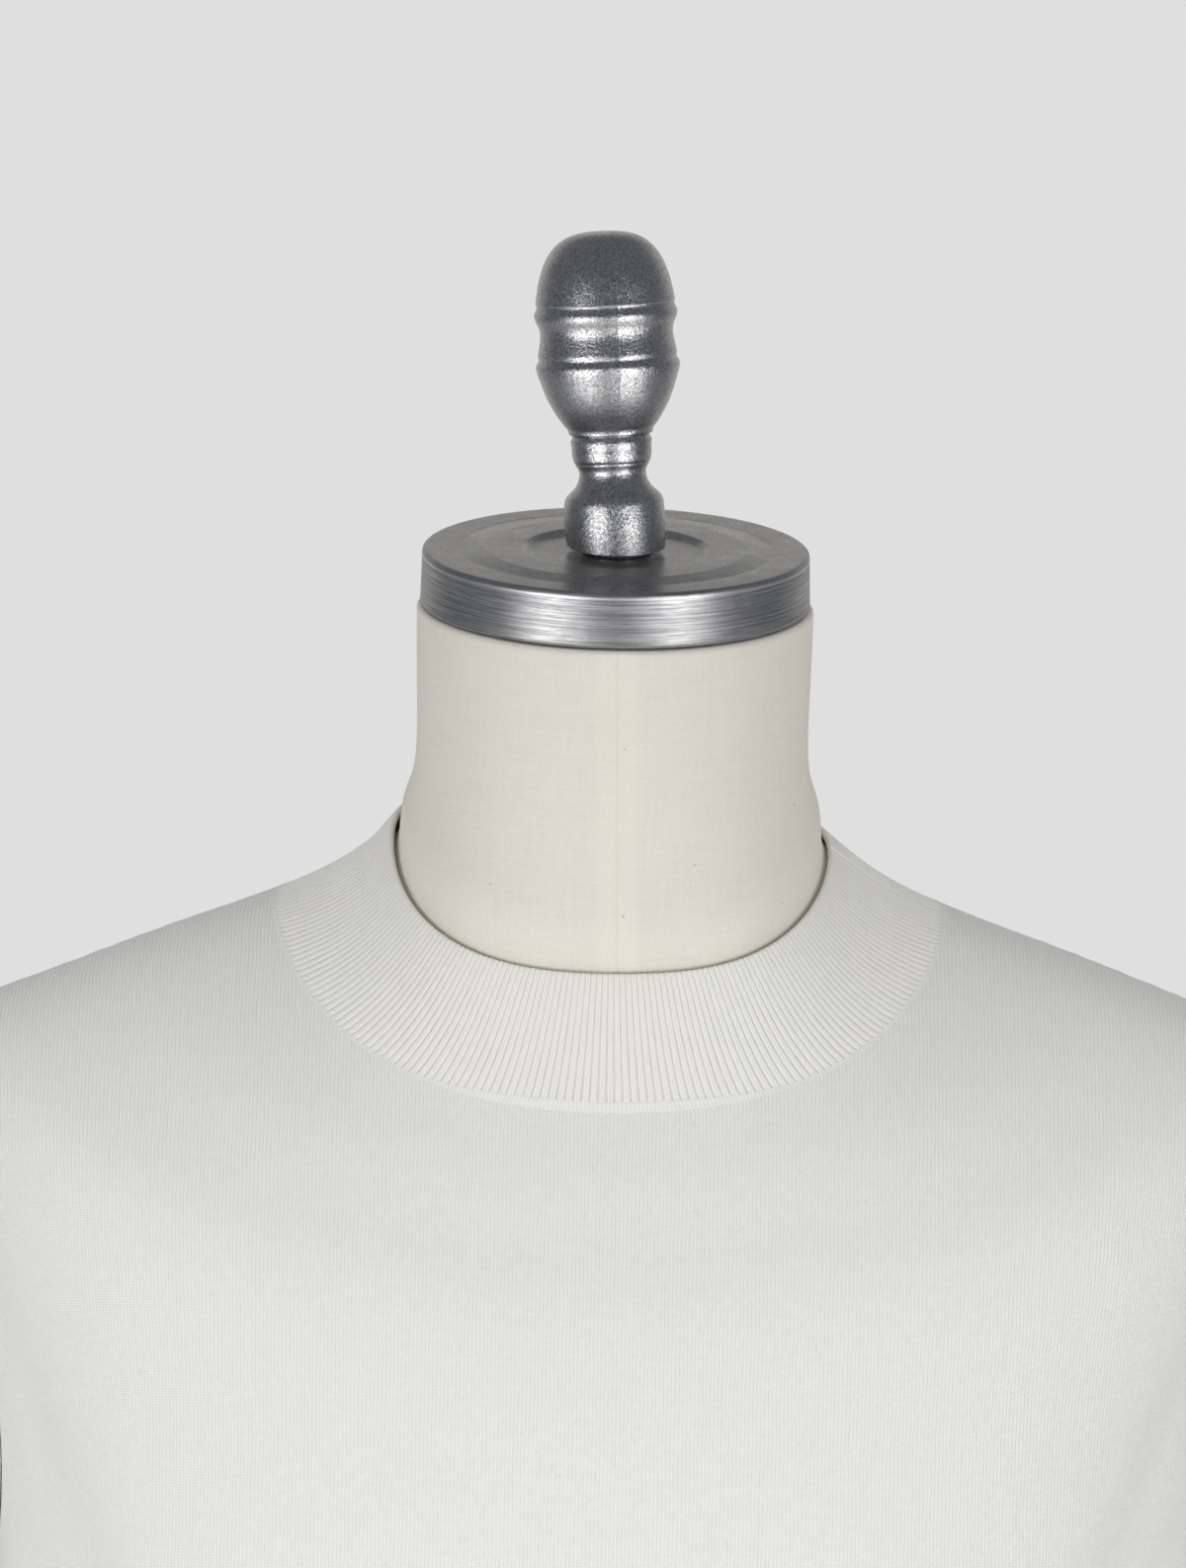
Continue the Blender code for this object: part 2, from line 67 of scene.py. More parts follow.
UNDERARM_LEVEL = 2.95
HEM_LEVEL = 7.45
SEAM_LEVEL = 0.0026
ARMHOLE_SPREAD = radians(16.8)
SLEEVE_FALL = radians(50)
CUFF_CENTRE = np.array([0.248, 0.004, SIDE_NECK_HEIGHT - 0.284])
CUFF_HALF_LENGTH = 0.060
CUFF_HALF_DEPTH = 0.046
SLEEVE_START_TOP = radians(21)
SLEEVE_START_UNDERARM = radians(38)
SLEEVE_FLARE = 0.35
SLEEVE_FULLNESS = 0.9
SLEEVE_GAP = 0.00004         # from the panels, and how much more there is at the underarm
UNDERARM_EASE = 0.0003
HEM_RIPPLE = 0.0045
RIDGE_ROUNDING = 0.3
SEAM_BEHIND = radians(8)
CAP_RADIUS = 0.0603
CAP_THICKNESS = 0.0178
CAP_TILT = radians(8.15)
DISH_DEPTH = 0.0012
FINIAL_LEAN = radians(-3.6)
FOOT_CUT = 0.0020           # height up to which the finial's foot slants with the cap
FOOT_SIDE = 0.0080          # height from which it doesn't
BASE_RADIUS = 0.155
BASE_THICKNESS = 0.014
BASE_BEVEL = 0.003
POLE_RADIUS = 0.019

Ring = namedtuple("Ring", "level side_z half_width side_y front back front_drop back_rise ridge pinch")
WORN = [
    Ring(-0.42, -0.0030, 0.0683, -0.0038, 0.0660, 0.0650, 0.0361, 0.0056, 0.02, -0.23),
    Ring(-0.21, -0.0128, 0.0859, -0.0034, 0.0735, 0.0730, 0.0487, -0.0034, 0.045, -0.20),
    Ring(0.00, -0.0199, 0.1050, -0.0018, 0.0824, 0.0820, 0.0598, -0.0101, 0.10, -0.16),
    Ring(0.44, -0.0328, 0.1440, -0.001, 0.0920, 0.0940, 0.0680, -0.0175, 0.16, -0.10),
    Ring(0.85, -0.0466, 0.1820, 0.000, 0.0995, 0.1015, 0.0735, -0.0265, 0.20, -0.05),
    Ring(1.10, -0.0559, 0.2035, 0.000, 0.1040, 0.1045, 0.0760, -0.0325, 0.20, -0.03),
    Ring(2.00, -0.1415, 0.2000, 0.002, 0.1160, 0.1070, 0.0470, -0.0230, 0.10, -0.15),
    Ring(2.95, -0.2450, 0.1890, 0.003, 0.1220, 0.1060, 0.0000, 0.0000, 0.00, -0.30),
    Ring(4.80, -0.4300, 0.1870, 0.003, 0.1220, 0.1100, 0.0000, 0.0000, 0.00, -0.28),
    Ring(7.45, -0.6950, 0.1900, 0.003, 0.1210, 0.1160, 0.0000, 0.0000, 0.00, -0.25),
]
NECK = [
    Ring(-1.22, 0.0673, 0.0614, -0.0080, 0.0605, 0.0605, 0.00866, 0.00866, 0.0, 0.0),
    Ring(-0.99, 0.0465, 0.0610, -0.0070, 0.0613, 0.0610, 0.0125, 0.0100, 0.0, -0.05),
    Ring(-0.78, 0.0266, 0.0607, -0.0060, 0.0621, 0.0615, 0.0188, 0.0090, 0.0, -0.12),
    Ring(-0.62, 0.0134, 0.0625, -0.0050, 0.0636, 0.0632, 0.0266, 0.0078, 0.0, -0.22),
    Ring(-0.51, 0.0049, 0.0652, -0.0042, 0.0652, 0.0645, 0.0330, 0.0066, 0.0, -0.28),
]
TRUNK = [
    Ring(1.10, -0.0580, 0.1940, 0.000, 0.1012, 0.1017, 0.0760, -0.0325, 0.20, -0.03),
    Ring(2.00, -0.1436, 0.1800, 0.002, 0.1132, 0.1042, 0.0470, -0.0230, 0.10, -0.15),
    Ring(2.95, -0.2471, 0.1720, 0.003, 0.1192, 0.1032, 0.0000, 0.0000, 0.00, -0.30),
    Ring(4.70, -0.4200, 0.1500, 0.003, 0.0990, 0.0920, 0.0000, 0.0000, 0.00, -0.20),
    Ring(6.60, -0.6100, 0.1680, 0.003, 0.1080, 0.1040, 0.0000, 0.0000, 0.00, -0.18),
    Ring(8.10, -0.7570, 0.1600, 0.003, 0.1000, 0.1000, 0.0000, 0.0000, 0.00, -0.15),
]

# Turned outlines, radius and height, from the top down to the underside. The finial's is in tenths
# of a millimetre, with one list for each stretch between two crisp edges.
FINIAL_OUTLINE = [
    [(0, 988), (62, 984), (112, 970), (156, 937), (185, 891), (203, 838), (210, 805), (216, 770)],
    [(213, 766), (213, 759)],
    [(216, 750), (221, 739), (221, 731), (217, 716), (210, 701), (206, 686), (205, 669)],
    [(207, 653), (211, 632), (215, 608)],
    [(213, 604), (213, 595)],
    [(217, 588), (222, 579), (222, 571), (219, 555), (213, 536), (200, 497), (182, 455),
     (162, 420), (142, 390)],
    [(137, 385), (132, 378), (130, 366)],
    [(119, 358), (119, 354), (123, 350), (124, 330), (123, 300), (121, 290)],
    [(121, 287), (118, 278)],
    [(114, 274), (114, 269)],
    [(110, 264), (105, 254), (103, 243), (105, 228), (111, 212), (120, 198), (133, 185),
     (146, 172), (153, 156), (155, 134), (156, 100), (155, 65), (154, 40), (153, 19)],
    [(151, 17), (115, 14), (110, 0)],
    [(0, 0)],
]
CAP_OUTLINE = [
    (0.0000, CAP_THICKNESS - DISH_DEPTH), (0.0268, CAP_THICKNESS - DISH_DEPTH),
    (0.0282, CAP_THICKNESS - 0.0001), (0.0288, CAP_THICKNESS + 0.0002),
    (0.0405, CAP_THICKNESS + 0.0002), (0.0412, CAP_THICKNESS + 0.0001),
    (0.0485, CAP_THICKNESS - 0.0006),
    (0.0495, CAP_THICKNESS - 0.0005), (0.0588, CAP_THICKNESS - 0.0004),
    (CAP_RADIUS - 0.0007, CAP_THICKNESS - 0.0008), (CAP_RADIUS - 0.0004, CAP_THICKNESS - 0.0014),
    (CAP_RADIUS, 0.0010), (CAP_RADIUS - 0.0008, 0.0), (0.0000, 0.0),
]

# Soft creases, troughs below 0 and ridges above. Each runs from one place to another, given by an
# angle round the piece in degrees and a level, or on a sleeve a share of its length.
Crease = namedtuple("Crease", "angle_from level_from angle_to level_to depth width")
BODY_CREASES = [
    Crease(72, 1.55, 46, 3.50, -0.0024, 0.016), Crease(-72, 1.60, -45, 3.45, -0.0022, 0.017),
    Crease(79, 2.30, 60, 3.90, 0.0030, 0.014), Crease(-78, 2.25, -59, 4.10, 0.0027, 0.015),
    Crease(84, 3.10, 62, 5.40, -0.0034, 0.020), Crease(-83, 3.15, -64, 5.10, -0.0037, 0.018),
    Crease(113, 2.00, 133, 3.80, -0.0030, 0.016), Crease(-114, 2.05, -135, 3.60, -0.0028, 0.017),
    Crease(99, 3.10, 122, 5.20, 0.0032, 0.018), Crease(-100, 3.05, -120, 5.50, 0.0034, 0.019),
    Crease(30, 4.80, 23, 7.90, -0.0030, 0.019), Crease(-38, 4.50, -30, 7.90, -0.0033, 0.022),
    Crease(75, 5.10, 69, 7.90, 0.0036, 0.020), Crease(-70, 5.40, -75, 7.90, 0.0031, 0.018),
    Crease(160, 4.40, 155, 7.90, -0.0034, 0.022), Crease(-167, 4.10, -160, 7.90, -0.0030, 0.020),
    Crease(181, 3.20, 178, 5.60, -0.0024, 0.026), Crease(128, 5.40, 132, 7.90, 0.0034, 0.018),
]
SLEEVE_CREASES = [
    Crease(150, 0.05, 95, 0.75, -0.0026, 0.010), Crease(172, 0.10, 130, 0.95, 0.0024, 0.009),
    Crease(205, 0.05, 262, 0.70, -0.0028, 0.011), Crease(186, 0.10, 228, 0.90, 0.0022, 0.009),
    Crease(60, 0.35, 72, 1.20, -0.0018, 0.012), Crease(300, 0.30, 292, 1.20, -0.0020, 0.012),
    Crease(15, 0.45, 28, 1.20, 0.0016, 0.013),
]
BODY_CREASE_RADIUS = 0.16
SLEEVE_CREASE_RADIUS = 0.055

# Knit and sewing. A width is that of a soft dip or ridge to either side of its middle.
WALE = 0.00118
COURSE = 0.00090
SEAM_DIP = 0.00032          # how far the cloth sinks at a seam
SEAM_ROUNDING = 0.0016
PUCKER = 0.00016
SLEEVE_LENGTH = 0.16
HEM_SWELL = 0.00022
STITCH_ROWS = [0.0158, 0.0200]   # of the twin needle, from the edge
STITCH_SPACING = 0.0032
STITCH_LENGTH = 0.0025
STITCH_DENT = 0.0003
STITCH_DENT_WIDTH = 0.0007
THREAD_RADIUS = 0.00022

# The collar
RIB_PITCH = 0.0022
RIB_COLUMNS = 8             # of points, across a rib
RIB_DEEP = 0.00040          # relief of the ribs at the linked seam
RIB_SHALLOW = 0.00020       # and at the neckline's fold
RIB_VALLEY = 0.17           # width of the dip between two ribs, as a share of their pitch
LIP_PLACE = NECKLINE_LEVEL / 10 - 0.0040    # pattern place of the fold's edge next to the form
COLLAR_WAVE = 0.00012
COLLAR_STAND = 0.0035       # how far the neckline stands up against the neck on the wearer's right
COLLAR_LEAN = 0.0006        # and leans in there
STAND_AT = radians(-106)
STAND_SPREAD = radians(24)
LEFT_DROP = 0.0012
LEFT_SPREAD = radians(38)
CLOSING_SEAM = radians(91.5)
CLOSING_RADIUS = 0.08       # from the neck's middle, roughly
CLOSING_DIP = (0.0006, 0.0008)              # depth and width
CLOSING_RIDGE = (0.0019, 0.0003, 0.0009)    # distance from the seam, height and width
LINK_COLUMNS = 7            # of points, across a rib
LINK_WIDTH_FRONT = 0.0040   # plain strip below the ribs at the centre front
LINK_WIDTH_ROUND = 0.0011   # and past the curve's shoulders
LINK_LAP = 0.0003           # how far it reaches past the collar's seam
LINK_HEIGHT = 0.00022
LINK_SINK = 0.00012         # how far its edges lie in the cloth
LINK_SCALLOP = 0.00022
# Its section, from its lower edge up and back underneath: share of its width, and of its height
LINK_PROFILE = [
    (0.00, 0.0), (0.04, 0.75), (0.12, 1.0), (0.25, 0.75), (0.5, 0.65), (0.72, 0.75), (0.86, 1.0),
    (0.96, 0.75), (1.0, 0.0), (0.7, -0.6), (0.3, -0.6),
]

# The form's canvas and castings
NECK_ROUNDING = 0.0016
CENTRE_STRIP = 0.0070       # half width of the raised strip at the canvas's centre seam
STRIP_HEIGHT = 0.00008
STRIP_START = 0.0012        # how far to the wearer's left it lies at the neck's top
STRIP_SLANT = 0.0175        # and how much further for each metre down
STRIP_WAVE = 0.0002
CANVAS_DENT = (0.00020, 0.0005)     # of the centre seam: depth and width
CANVAS_PUCKER = (0.00007, 0.003)
CANVAS_WAVE = 0.00012
CANVAS_THREAD = 0.00048
CASTING_SEAM = radians(10)
CASTING_RADIUS = 0.02
CASTING_RIDGE = (0.00016, 0.0005)   # height and width
CASTING_BEADS = (0.0764, 0.0600)    # heights on the finial
BEAD_SIZE = (0.00030, 0.0022, 0.0013)   # height, width round and width up


# Rings

def slopes(levels, values):
    """The slopes at the levels of the smoothest curve through the values."""
    near = 1 / np.diff(levels)
    pull = 3 * np.diff(values) * near**2
    both = np.append(near, 0) + np.append(0, near)
    weights = np.diag(near, 1) + np.diag(near, -1) + np.diag(2 * both)
    return np.linalg.solve(weights, np.append(pull, 0) + np.append(0, pull))


def curves_of(rings):
    """The levels of a table's rings, and each of its columns with its slopes."""
    levels = np.array([ring.level for ring in rings])
    columns = [np.array([getattr(ring, name) for ring in rings]) for name in Ring._fields[1:]]
    return levels, [(values, slopes(levels, values)) for values in columns]


def cubic(t, start, leave, end, arrive):
    """The smooth curve between two values, with the slopes at which it leaves and arrives."""
    return (
        start * (2 * t**3 - 3 * t**2 + 1) + leave * (t**3 - 2 * t**2 + t)
        + end * (3 * t**2 - 2 * t**3) + arrive * (t**3 - t**2)
    )


def along_curves(levels, columns, level):
    """The values at a level, or an array of them, of curves given by values and slopes at levels."""
    low = np.clip(np.searchsorted(levels, level, side="right") - 1, 0, len(levels) - 2)
    span = levels[low + 1] - levels[low]
    t = (level - levels[low]) / span
    return [
        cubic(t, values[low], slope[low] * span, values[low + 1], slope[low + 1] * span)
        for values, slope in columns
    ]


def rings_at(curves, level):
    """A ring whose values are arrays, one for each of the levels."""
    return Ring(level, *along_curves(*curves, level))


def fall(ring, ahead):
    """How far a ring falls at a share of its depth ahead of the side, bending at its ridge."""
    def rounded(share):
        return (share + np.hypot(share, RIDGE_ROUNDING)) / 2
    behind, before = rounded(-1 - ring.ridge), rounded(1 - ring.ridge)
    bend = (rounded(ahead - ring.ridge) - behind) / (before - behind)
    return ring.back_rise * ahead + (ring.front_drop - ring.back_rise) * bend


def on_rings(curves, level, angle):
    """Points at levels and angles. Angle 0 is the centre front, 90 degrees the wearer's left."""
    ring = rings_at(curves, level)
    ahead = np.cos(angle) * (1 - ring.pinch * np.sin(angle) ** 2)
    depth = (ring.front + ring.back) / 2 + (ring.front - ring.back) / 2 * ahead
    return np.stack([
        ring.half_width * np.sin(angle),
        ring.side_y - depth * ahead,
        SIDE_NECK_HEIGHT + ring.side_z - fall(ring, ahead),
    ], axis=-1)


def smooth_step(value, low, high):
    share = np.clip((value - low) / (high - low), 0.0, 1.0)
    return share * share * (3 - 2 * share)


def bump(distance, width):
    """1 at the middle and soft to 0 at about twice the width."""
    return np.exp(-((distance / width) ** 2))


def turned_from(angle, other):
    """How far an angle is turned from another, from -pi to pi."""
    return (angle - other + pi) % (2 * pi) - pi


def unit(vectors):
    return vectors / np.linalg.norm(vectors, axis=-1, keepdims=True)


def left_drop(level, angle):
    """How much lower the wearer's left side is, from the collar to partway along the shoulder."""
    share = smooth_step(level, -0.62, -0.42) * smooth_step(level, 0.78, 0.15)
    return LEFT_DROP * share * bump(turned_from(angle, pi / 2), LEFT_SPREAD)


WORN_CURVES = curves_of(WORN)
INSET = [
    ring._replace(
        side_z=ring.side_z - FORM_DROP, half_width=ring.half_width - FORM_INSET,
        front=ring.front - FORM_INSET, back=ring.back - FORM_INSET,
    )
    for ring in WORN if ring.level < SHOULDER_LEVEL
]
FORM_CURVES = curves_of(NECK + INSET + TRUNK)


def worn(level, angle):
    """Points of the cloth's outer face, with the soft folds that the solids have."""
    points = on_rings(WORN_CURVES, level, angle)
    wave = 0.6 * np.sin(5 * angle + 0.7) + 0.4 * np.sin(9 * angle + 2.1)
    ripple = HEM_RIPPLE * smooth_step(level, UNDERARM_LEVEL, HEM_LEVEL) * wave
    points[..., 0] += np.sin(angle) * ripple
    points[..., 1] -= np.cos(angle) * ripple
    by_neck = bump(turned_from(angle, STAND_AT), STAND_SPREAD) * smooth_step(-level, 0.31, 0.42)
    points[..., 0] -= COLLAR_LEAN * np.sin(angle) * by_neck
    points[..., 1] += COLLAR_LEAN * np.cos(angle) * by_neck
    points[..., 2] += COLLAR_STAND * by_neck - left_drop(level, angle)
    return points


def normals_of(surface, down, across, low, high):
    """The normals of a surface that depends on two values, the first of them from low to high."""
    step = 0.01
    before, after = np.maximum(down - step, low), np.minimum(down + step, high)
    along = surface(after, across) - surface(before, across)
    around = surface(down, across + step) - surface(down, across - step)
    return unit(np.cross(along, around))


def outward(level, angle):
    """The outward normals of the cloth there."""
    return normals_of(worn, level, angle, NECKLINE_LEVEL, HEM_LEVEL)


def creased(creases, radius, level, angle):
    """How far the creases lift the cloth."""
    lift = np.zeros(np.broadcast(level, angle).shape)
    for crease in creases:
        share = (level - crease.level_from) / (crease.level_to - crease.level_from)
        middle = crease.angle_from + (crease.angle_to - crease.angle_from) * share
        away = (np.degrees(angle) - middle + 180) % 360 - 180
        fade = smooth_step(share, 0.0, 0.35) * smooth_step(share, 1.0, 0.65)
        lift += crease.depth * fade * bump(np.radians(away) * radius, crease.width)
    return lift


def distance_to(points, lines):
    """How far each point lies from the nearest of some lines of points."""
    fine = [line[-1:] for line in lines]
    for line in lines:
        for step in np.linspace(0, 1, 4, endpoint=False):
            fine.append(line[:-1] * (1 - step) + line[1:] * step)
    fine = np.concatenate(fine)
    tree = KDTree(len(fine))
    for number, point in enumerate(fine):
        tree.insert(point, number)
    tree.balance()
    found = [tree.find(point)[2] for point in points.reshape(-1, 3)]
    return np.array(found).reshape(points.shape[:-1])


def running(steps, axis=0):
    """The running sums of steps, from 0."""
    return np.insert(np.cumsum(steps, axis=axis), 0, 0.0, axis=axis)


def lengths_along(line):
    return running(np.linalg.norm(np.diff(line, axis=0), axis=1))


def unrolled(points):
    """Where the points of a closed tube lie when it is laid flat, round it and along it."""
    u = np.stack([lengths_along(row) for row in wrapped(points)])
    v = np.stack([lengths_along(column) for column in points.swapaxes(0, 1)], axis=1)
    return np.stack([u, wrapped(v)], axis=-1)


# Closed meshes from grids of points

def placed(name, data):
    """A new object in the scene."""
    thing = bpy.data.objects.new(name, data)
    bpy.context.scene.collection.objects.link(thing)
    return thing


class Shell:
    """Gathers grids of points with their pattern places, and makes them one closed mesh."""

    def __init__(self, name):
        self.name = name
        self.points = []
        self.faces = []
        self.places = []
        self.count = 0

    def add(self, points):
        """Adds points and gives their numbers, in the same rows."""
        numbers = self.count + np.arange(points[..., 0].size).reshape(points.shape[:-1])
        self.points.append(points.reshape(-1, 3))
        self.count += numbers.size
        return numbers

    def skin(self, numbers, places):
        """Faces between neighbouring rows and columns of numbers."""
        self.faces.append(corners(numbers).reshape(-1, 4))
        self.places.append(corners(places).reshape(-1, 2))

    def band(self, rows, places):
        """Faces between rows of numbers that share one row of places."""
        self.skin(np.stack(rows), np.stack([places] * len(rows)))

    def tube(self, rows, places):
        """A closed tube from rows of points, with a fan over each end."""
        numbers = self.add(rows)
        self.skin(wrapped(numbers), places)
        for row, turn in ((0, 1), (-1, -1)):
            ring, spots = numbers[row][::turn], places[row][::turn]
            middle = self.add(rows[row].mean(axis=0)[None])[0]
            self.faces.append(np.stack([ring, np.roll(ring, -1), np.full_like(ring, middle)], axis=-1))
            spots = [spots[:-1], spots[1:], np.broadcast_to(places[row, 0], spots[1:].shape)]
            self.places.append(np.stack(spots, axis=1).reshape(-1, 2))

    def make(self, material, node=None, sharp=50):
        """The mesh as a piece of the part, in place of a node's solid or beside it."""
        mesh = bpy.data.meshes.new(self.name)
        faces = [face for block in self.faces for face in block.tolist()]
        mesh.from_pydata(np.concatenate(self.points).tolist(), [], faces)
        layer = mesh.uv_layers.new(name="pattern")
        layer.data.foreach_set("uv", np.concatenate(self.places).ravel())
        mesh.materials.append(material)
        mesh.shade_smooth()
        mesh.set_sharp_from_angle(angle=radians(sharp))
        piece = placed(self.name, mesh)
        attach(piece, "root")
        if node:
            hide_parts(node)
        return piece


def corners(grid):
    """The corners of a grid's cells, anticlockwise where rows run down and columns to the right."""
    return np.stack([grid[:-1, :-1], grid[1:, :-1], grid[1:, 1:], grid[:-1, 1:]], axis=2)


def wrapped(grid):
    """A grid with its first column again after its last."""
    return np.concatenate([grid, grid[:, :1]], axis=1)


def wall(name, node, outer, inner, places, closed, material):
    """A cloth wall from its outer and inner faces, with a rounded foot and its sides shut."""
    shell = Shell(name)
    outside, inside = shell.add(outer), shell.add(inner)
    beyond = unit(outer[-1] - outer[-2]) * CLOTH_THICKNESS * 0.35
    rim = shell.add((outer[-1] + inner[-1]) / 2 + beyond)
    if closed:
        outside, inside, rim = wrapped(outside), wrapped(inside), np.append(rim, rim[0])
    shell.skin(outside, places)
    shell.skin(inside[::-1], places[::-1])
    shell.band([outside[-1], rim, inside[-1]], places[-1])
    shell.band([inside[0], outside[0]], places[0])
    if not closed:
        for column, one, other in ((0, outside, inside), (-1, inside, outside)):
            shell.band([one[:, column], other[:, column]], places[:, column])
            shell.faces.append(np.array([[rim[column], other[-1, column], one[-1, column]]]))
            shell.places.append(np.stack([places[-1, column]] * 3))
    return shell.make(material, node)


def stitches(name, line, normals, material):
    """A row of short threads along a line of points on the cloth."""
    lengths = lengths_along(line)
    count = int(lengths[-1] / STITCH_SPACING)
    middles = (np.arange(count) + 0.5) * lengths[-1] / count
    def at(places, values):
        return np.stack([np.interp(places, lengths, column) for column in values.T], axis=-1)
    ahead = unit(at(middles + THREAD_RADIUS, line) - at(middles - THREAD_RADIUS, line))
    profile = [(-0.5, 0.35), (-0.36, 0.9), (0.0, 1.0), (0.36, 0.9), (0.5, 0.35)]
    share, size = np.array(profile).T[..., None]
    turns = np.linspace(0, 2 * pi, 6, endpoint=False)[:, None]
    shell = Shell(name)
    for centre, up, along in zip(at(middles, line), unit(at(middles, normals)), ahead):
        arch = up * THREAD_RADIUS * (0.5 - 2.4 * share * share)
        middle = centre + along * STITCH_LENGTH * share + arch
        ring = np.cos(turns) * np.cross(up, along) + np.sin(turns) * up
        numbers = wrapped(shell.add(middle[:, None] + ring * THREAD_RADIUS * size[:, None]))
        shell.skin(numbers[:, ::-1], np.zeros(numbers.shape + (2,)))
        shell.faces.append(numbers[:1, :-1])
        shell.faces.append(numbers[-1:, :-1][:, ::-1])
        shell.places.append(np.zeros((2 * len(turns), 2)))
    return shell.make(material)


def stitch_rows(name, outer, normals, distances, material):
    """The twin needle's rows at a turned edge, from how far each row of points lies from it."""
    found = []
    for number, distance in enumerate(STITCH_ROWS):
        row = int(np.argmin(np.abs(distances - distance)))
        found.append(stitches(f"{name}_stitches_{number + 1}", outer[row], normals[row], material))
    return found


# The t-shirt

def hem_relief(distance):
    """The relief at a distance from a turned edge: a soft swell and the needle's rows."""
    swell = HEM_SWELL * np.sin(np.clip(distance / STITCH_ROWS[0], 0, 1) * pi)
    return swell - STITCH_DENT * sum(bump(distance - row, STITCH_DENT_WIDTH) for row in STITCH_ROWS)


# Distances from a turned edge at which rows lie, from the far ones to the edge, close together there
# and at the stitching
EDGE_STEPS = np.array(
    [0.0, 0.0004, 0.0009, 0.0016, 0.0028, 0.005, 0.008, 0.011, 0.0135]
    + list(np.arange(0.0146, 0.0215, 0.0006)) + [0.0225]
)[::-1]


def seam_behind(level):
    """How far the shoulder seam lies behind the side: most at the collar, and none at the armhole."""
    return SEAM_BEHIND * np.maximum(1 - np.maximum(level, 0.0) / SHOULDER_LEVEL, 0.0)


def seam_gap_angle(level):
    """The angle that half a seam's gap takes up at the body's side."""
    step = 0.001
    across = worn(level, pi / 2 + step) - worn(level, pi / 2 - step)
    return SEAM_GAP / 2 / (np.linalg.norm(across, axis=-1) / (2 * step))


def panel_rows():
    """Each row's level and armhole half angle, from the collar seam to the hem."""
    upper = np.linspace(0.04, SHOULDER_LEVEL, 30)[:-1]
    shoulder = np.concatenate([[SEAM_LEVEL, 0.008, 0.016, 0.027], upper])
    turn = np.linspace(0, pi, 60)
    armhole = SHOULDER_LEVEL + (UNDERARM_LEVEL - SHOULDER_LEVEL) * (1 - np.cos(turn)) / 2
    hem = HEM_LEVEL - EDGE_STEPS * 10
    lower = np.linspace(UNDERARM_LEVEL, hem[0], 66)[1:-1]
    levels = np.concatenate([shoulder, armhole, lower, hem])
    spreads = np.zeros(len(levels))
    spreads[len(shoulder):len(shoulder) + len(turn)] = ARMHOLE_SPREAD * np.sin(turn)
    return levels, spreads


def panel_shares():
    """Shares from -1 to 1 of the way across a panel, with more columns at its sides."""
    side = 1 - np.array([0.0, 0.0013, 0.0028, 0.0048, 0.0075])
    middle = np.linspace(-0.988, 0.988, 171)
    return np.concatenate([-side, middle, side[::-1]])


def pattern_places(points, level):
    """Where points lie in the knit: wales stand upright, and courses run level round the body."""
    across, down = np.diff(points, axis=1), np.diff(points, axis=0)
    centre = points.shape[1] // 2
    keep = smooth_step(level[:, None], 0.8, 2.0)
    u = running(np.hypot(across[..., 0], keep * across[..., 1]), axis=1)
    first = running(np.hypot(across[0, :, 1], across[0, :, 2]))
    v = running(np.hypot(down[..., 1], down[..., 2])) - np.abs(first - first[centre])
    flat = points[0, centre, 2] - points[..., 2]
    share = smooth_step(level[:, None], 0.8, 2.4)
    return np.stack([u - u[:, centre:centre + 1], v * (1 - share) + flat * share], axis=-1)


def make_panel(name, node, facing, material):
    """The front or the back. Facing is the angle of its centre line, 0 or 180 degrees."""
    levels, spreads = panel_rows()
    half = pi / 2 + cos(facing) * seam_behind(levels)
    half -= np.maximum(spreads, seam_gap_angle(levels))
    shares = panel_shares()
    angle = facing + half[:, None] * shares[None, :]
    level = np.broadcast_to(levels[:, None], angle.shape)
    points, normals = worn(level, angle), outward(level, angle)
    armholes = points[spreads > 0]
    from_armhole = distance_to(points, [armholes[:, 0], armholes[:, -1]])
    from_seam = distance_to(points, [points[:, 0], points[:, -1]])
    fold = creased(BODY_CREASES, BODY_CREASE_RADIUS, level, angle) * smooth_step(from_armhole, 0, 0.03)
    uneven = np.sin(level * 71 + 1.3 * np.sin(level * 23)) + 0.6 * np.sin(level * 117 + angle * 9)
    lift = fold - SEAM_DIP * bump(from_seam, SEAM_ROUNDING)
    lift += PUCKER * uneven * bump(from_seam, 0.007) * smooth_step(from_seam, 0, 0.003)
    lift += hem_relief((HEM_LEVEL - level) / 10)
    outer = points + normals * lift[..., None]
    inner = points + normals * (fold - CLOTH_THICKNESS)[..., None]
    places = pattern_places(points, levels)
    piece = wall(name, node, outer, inner, places, False, material)
    return piece, stitch_rows(f"{name}_hem", outer, normals, (HEM_LEVEL - levels) / 10, material)


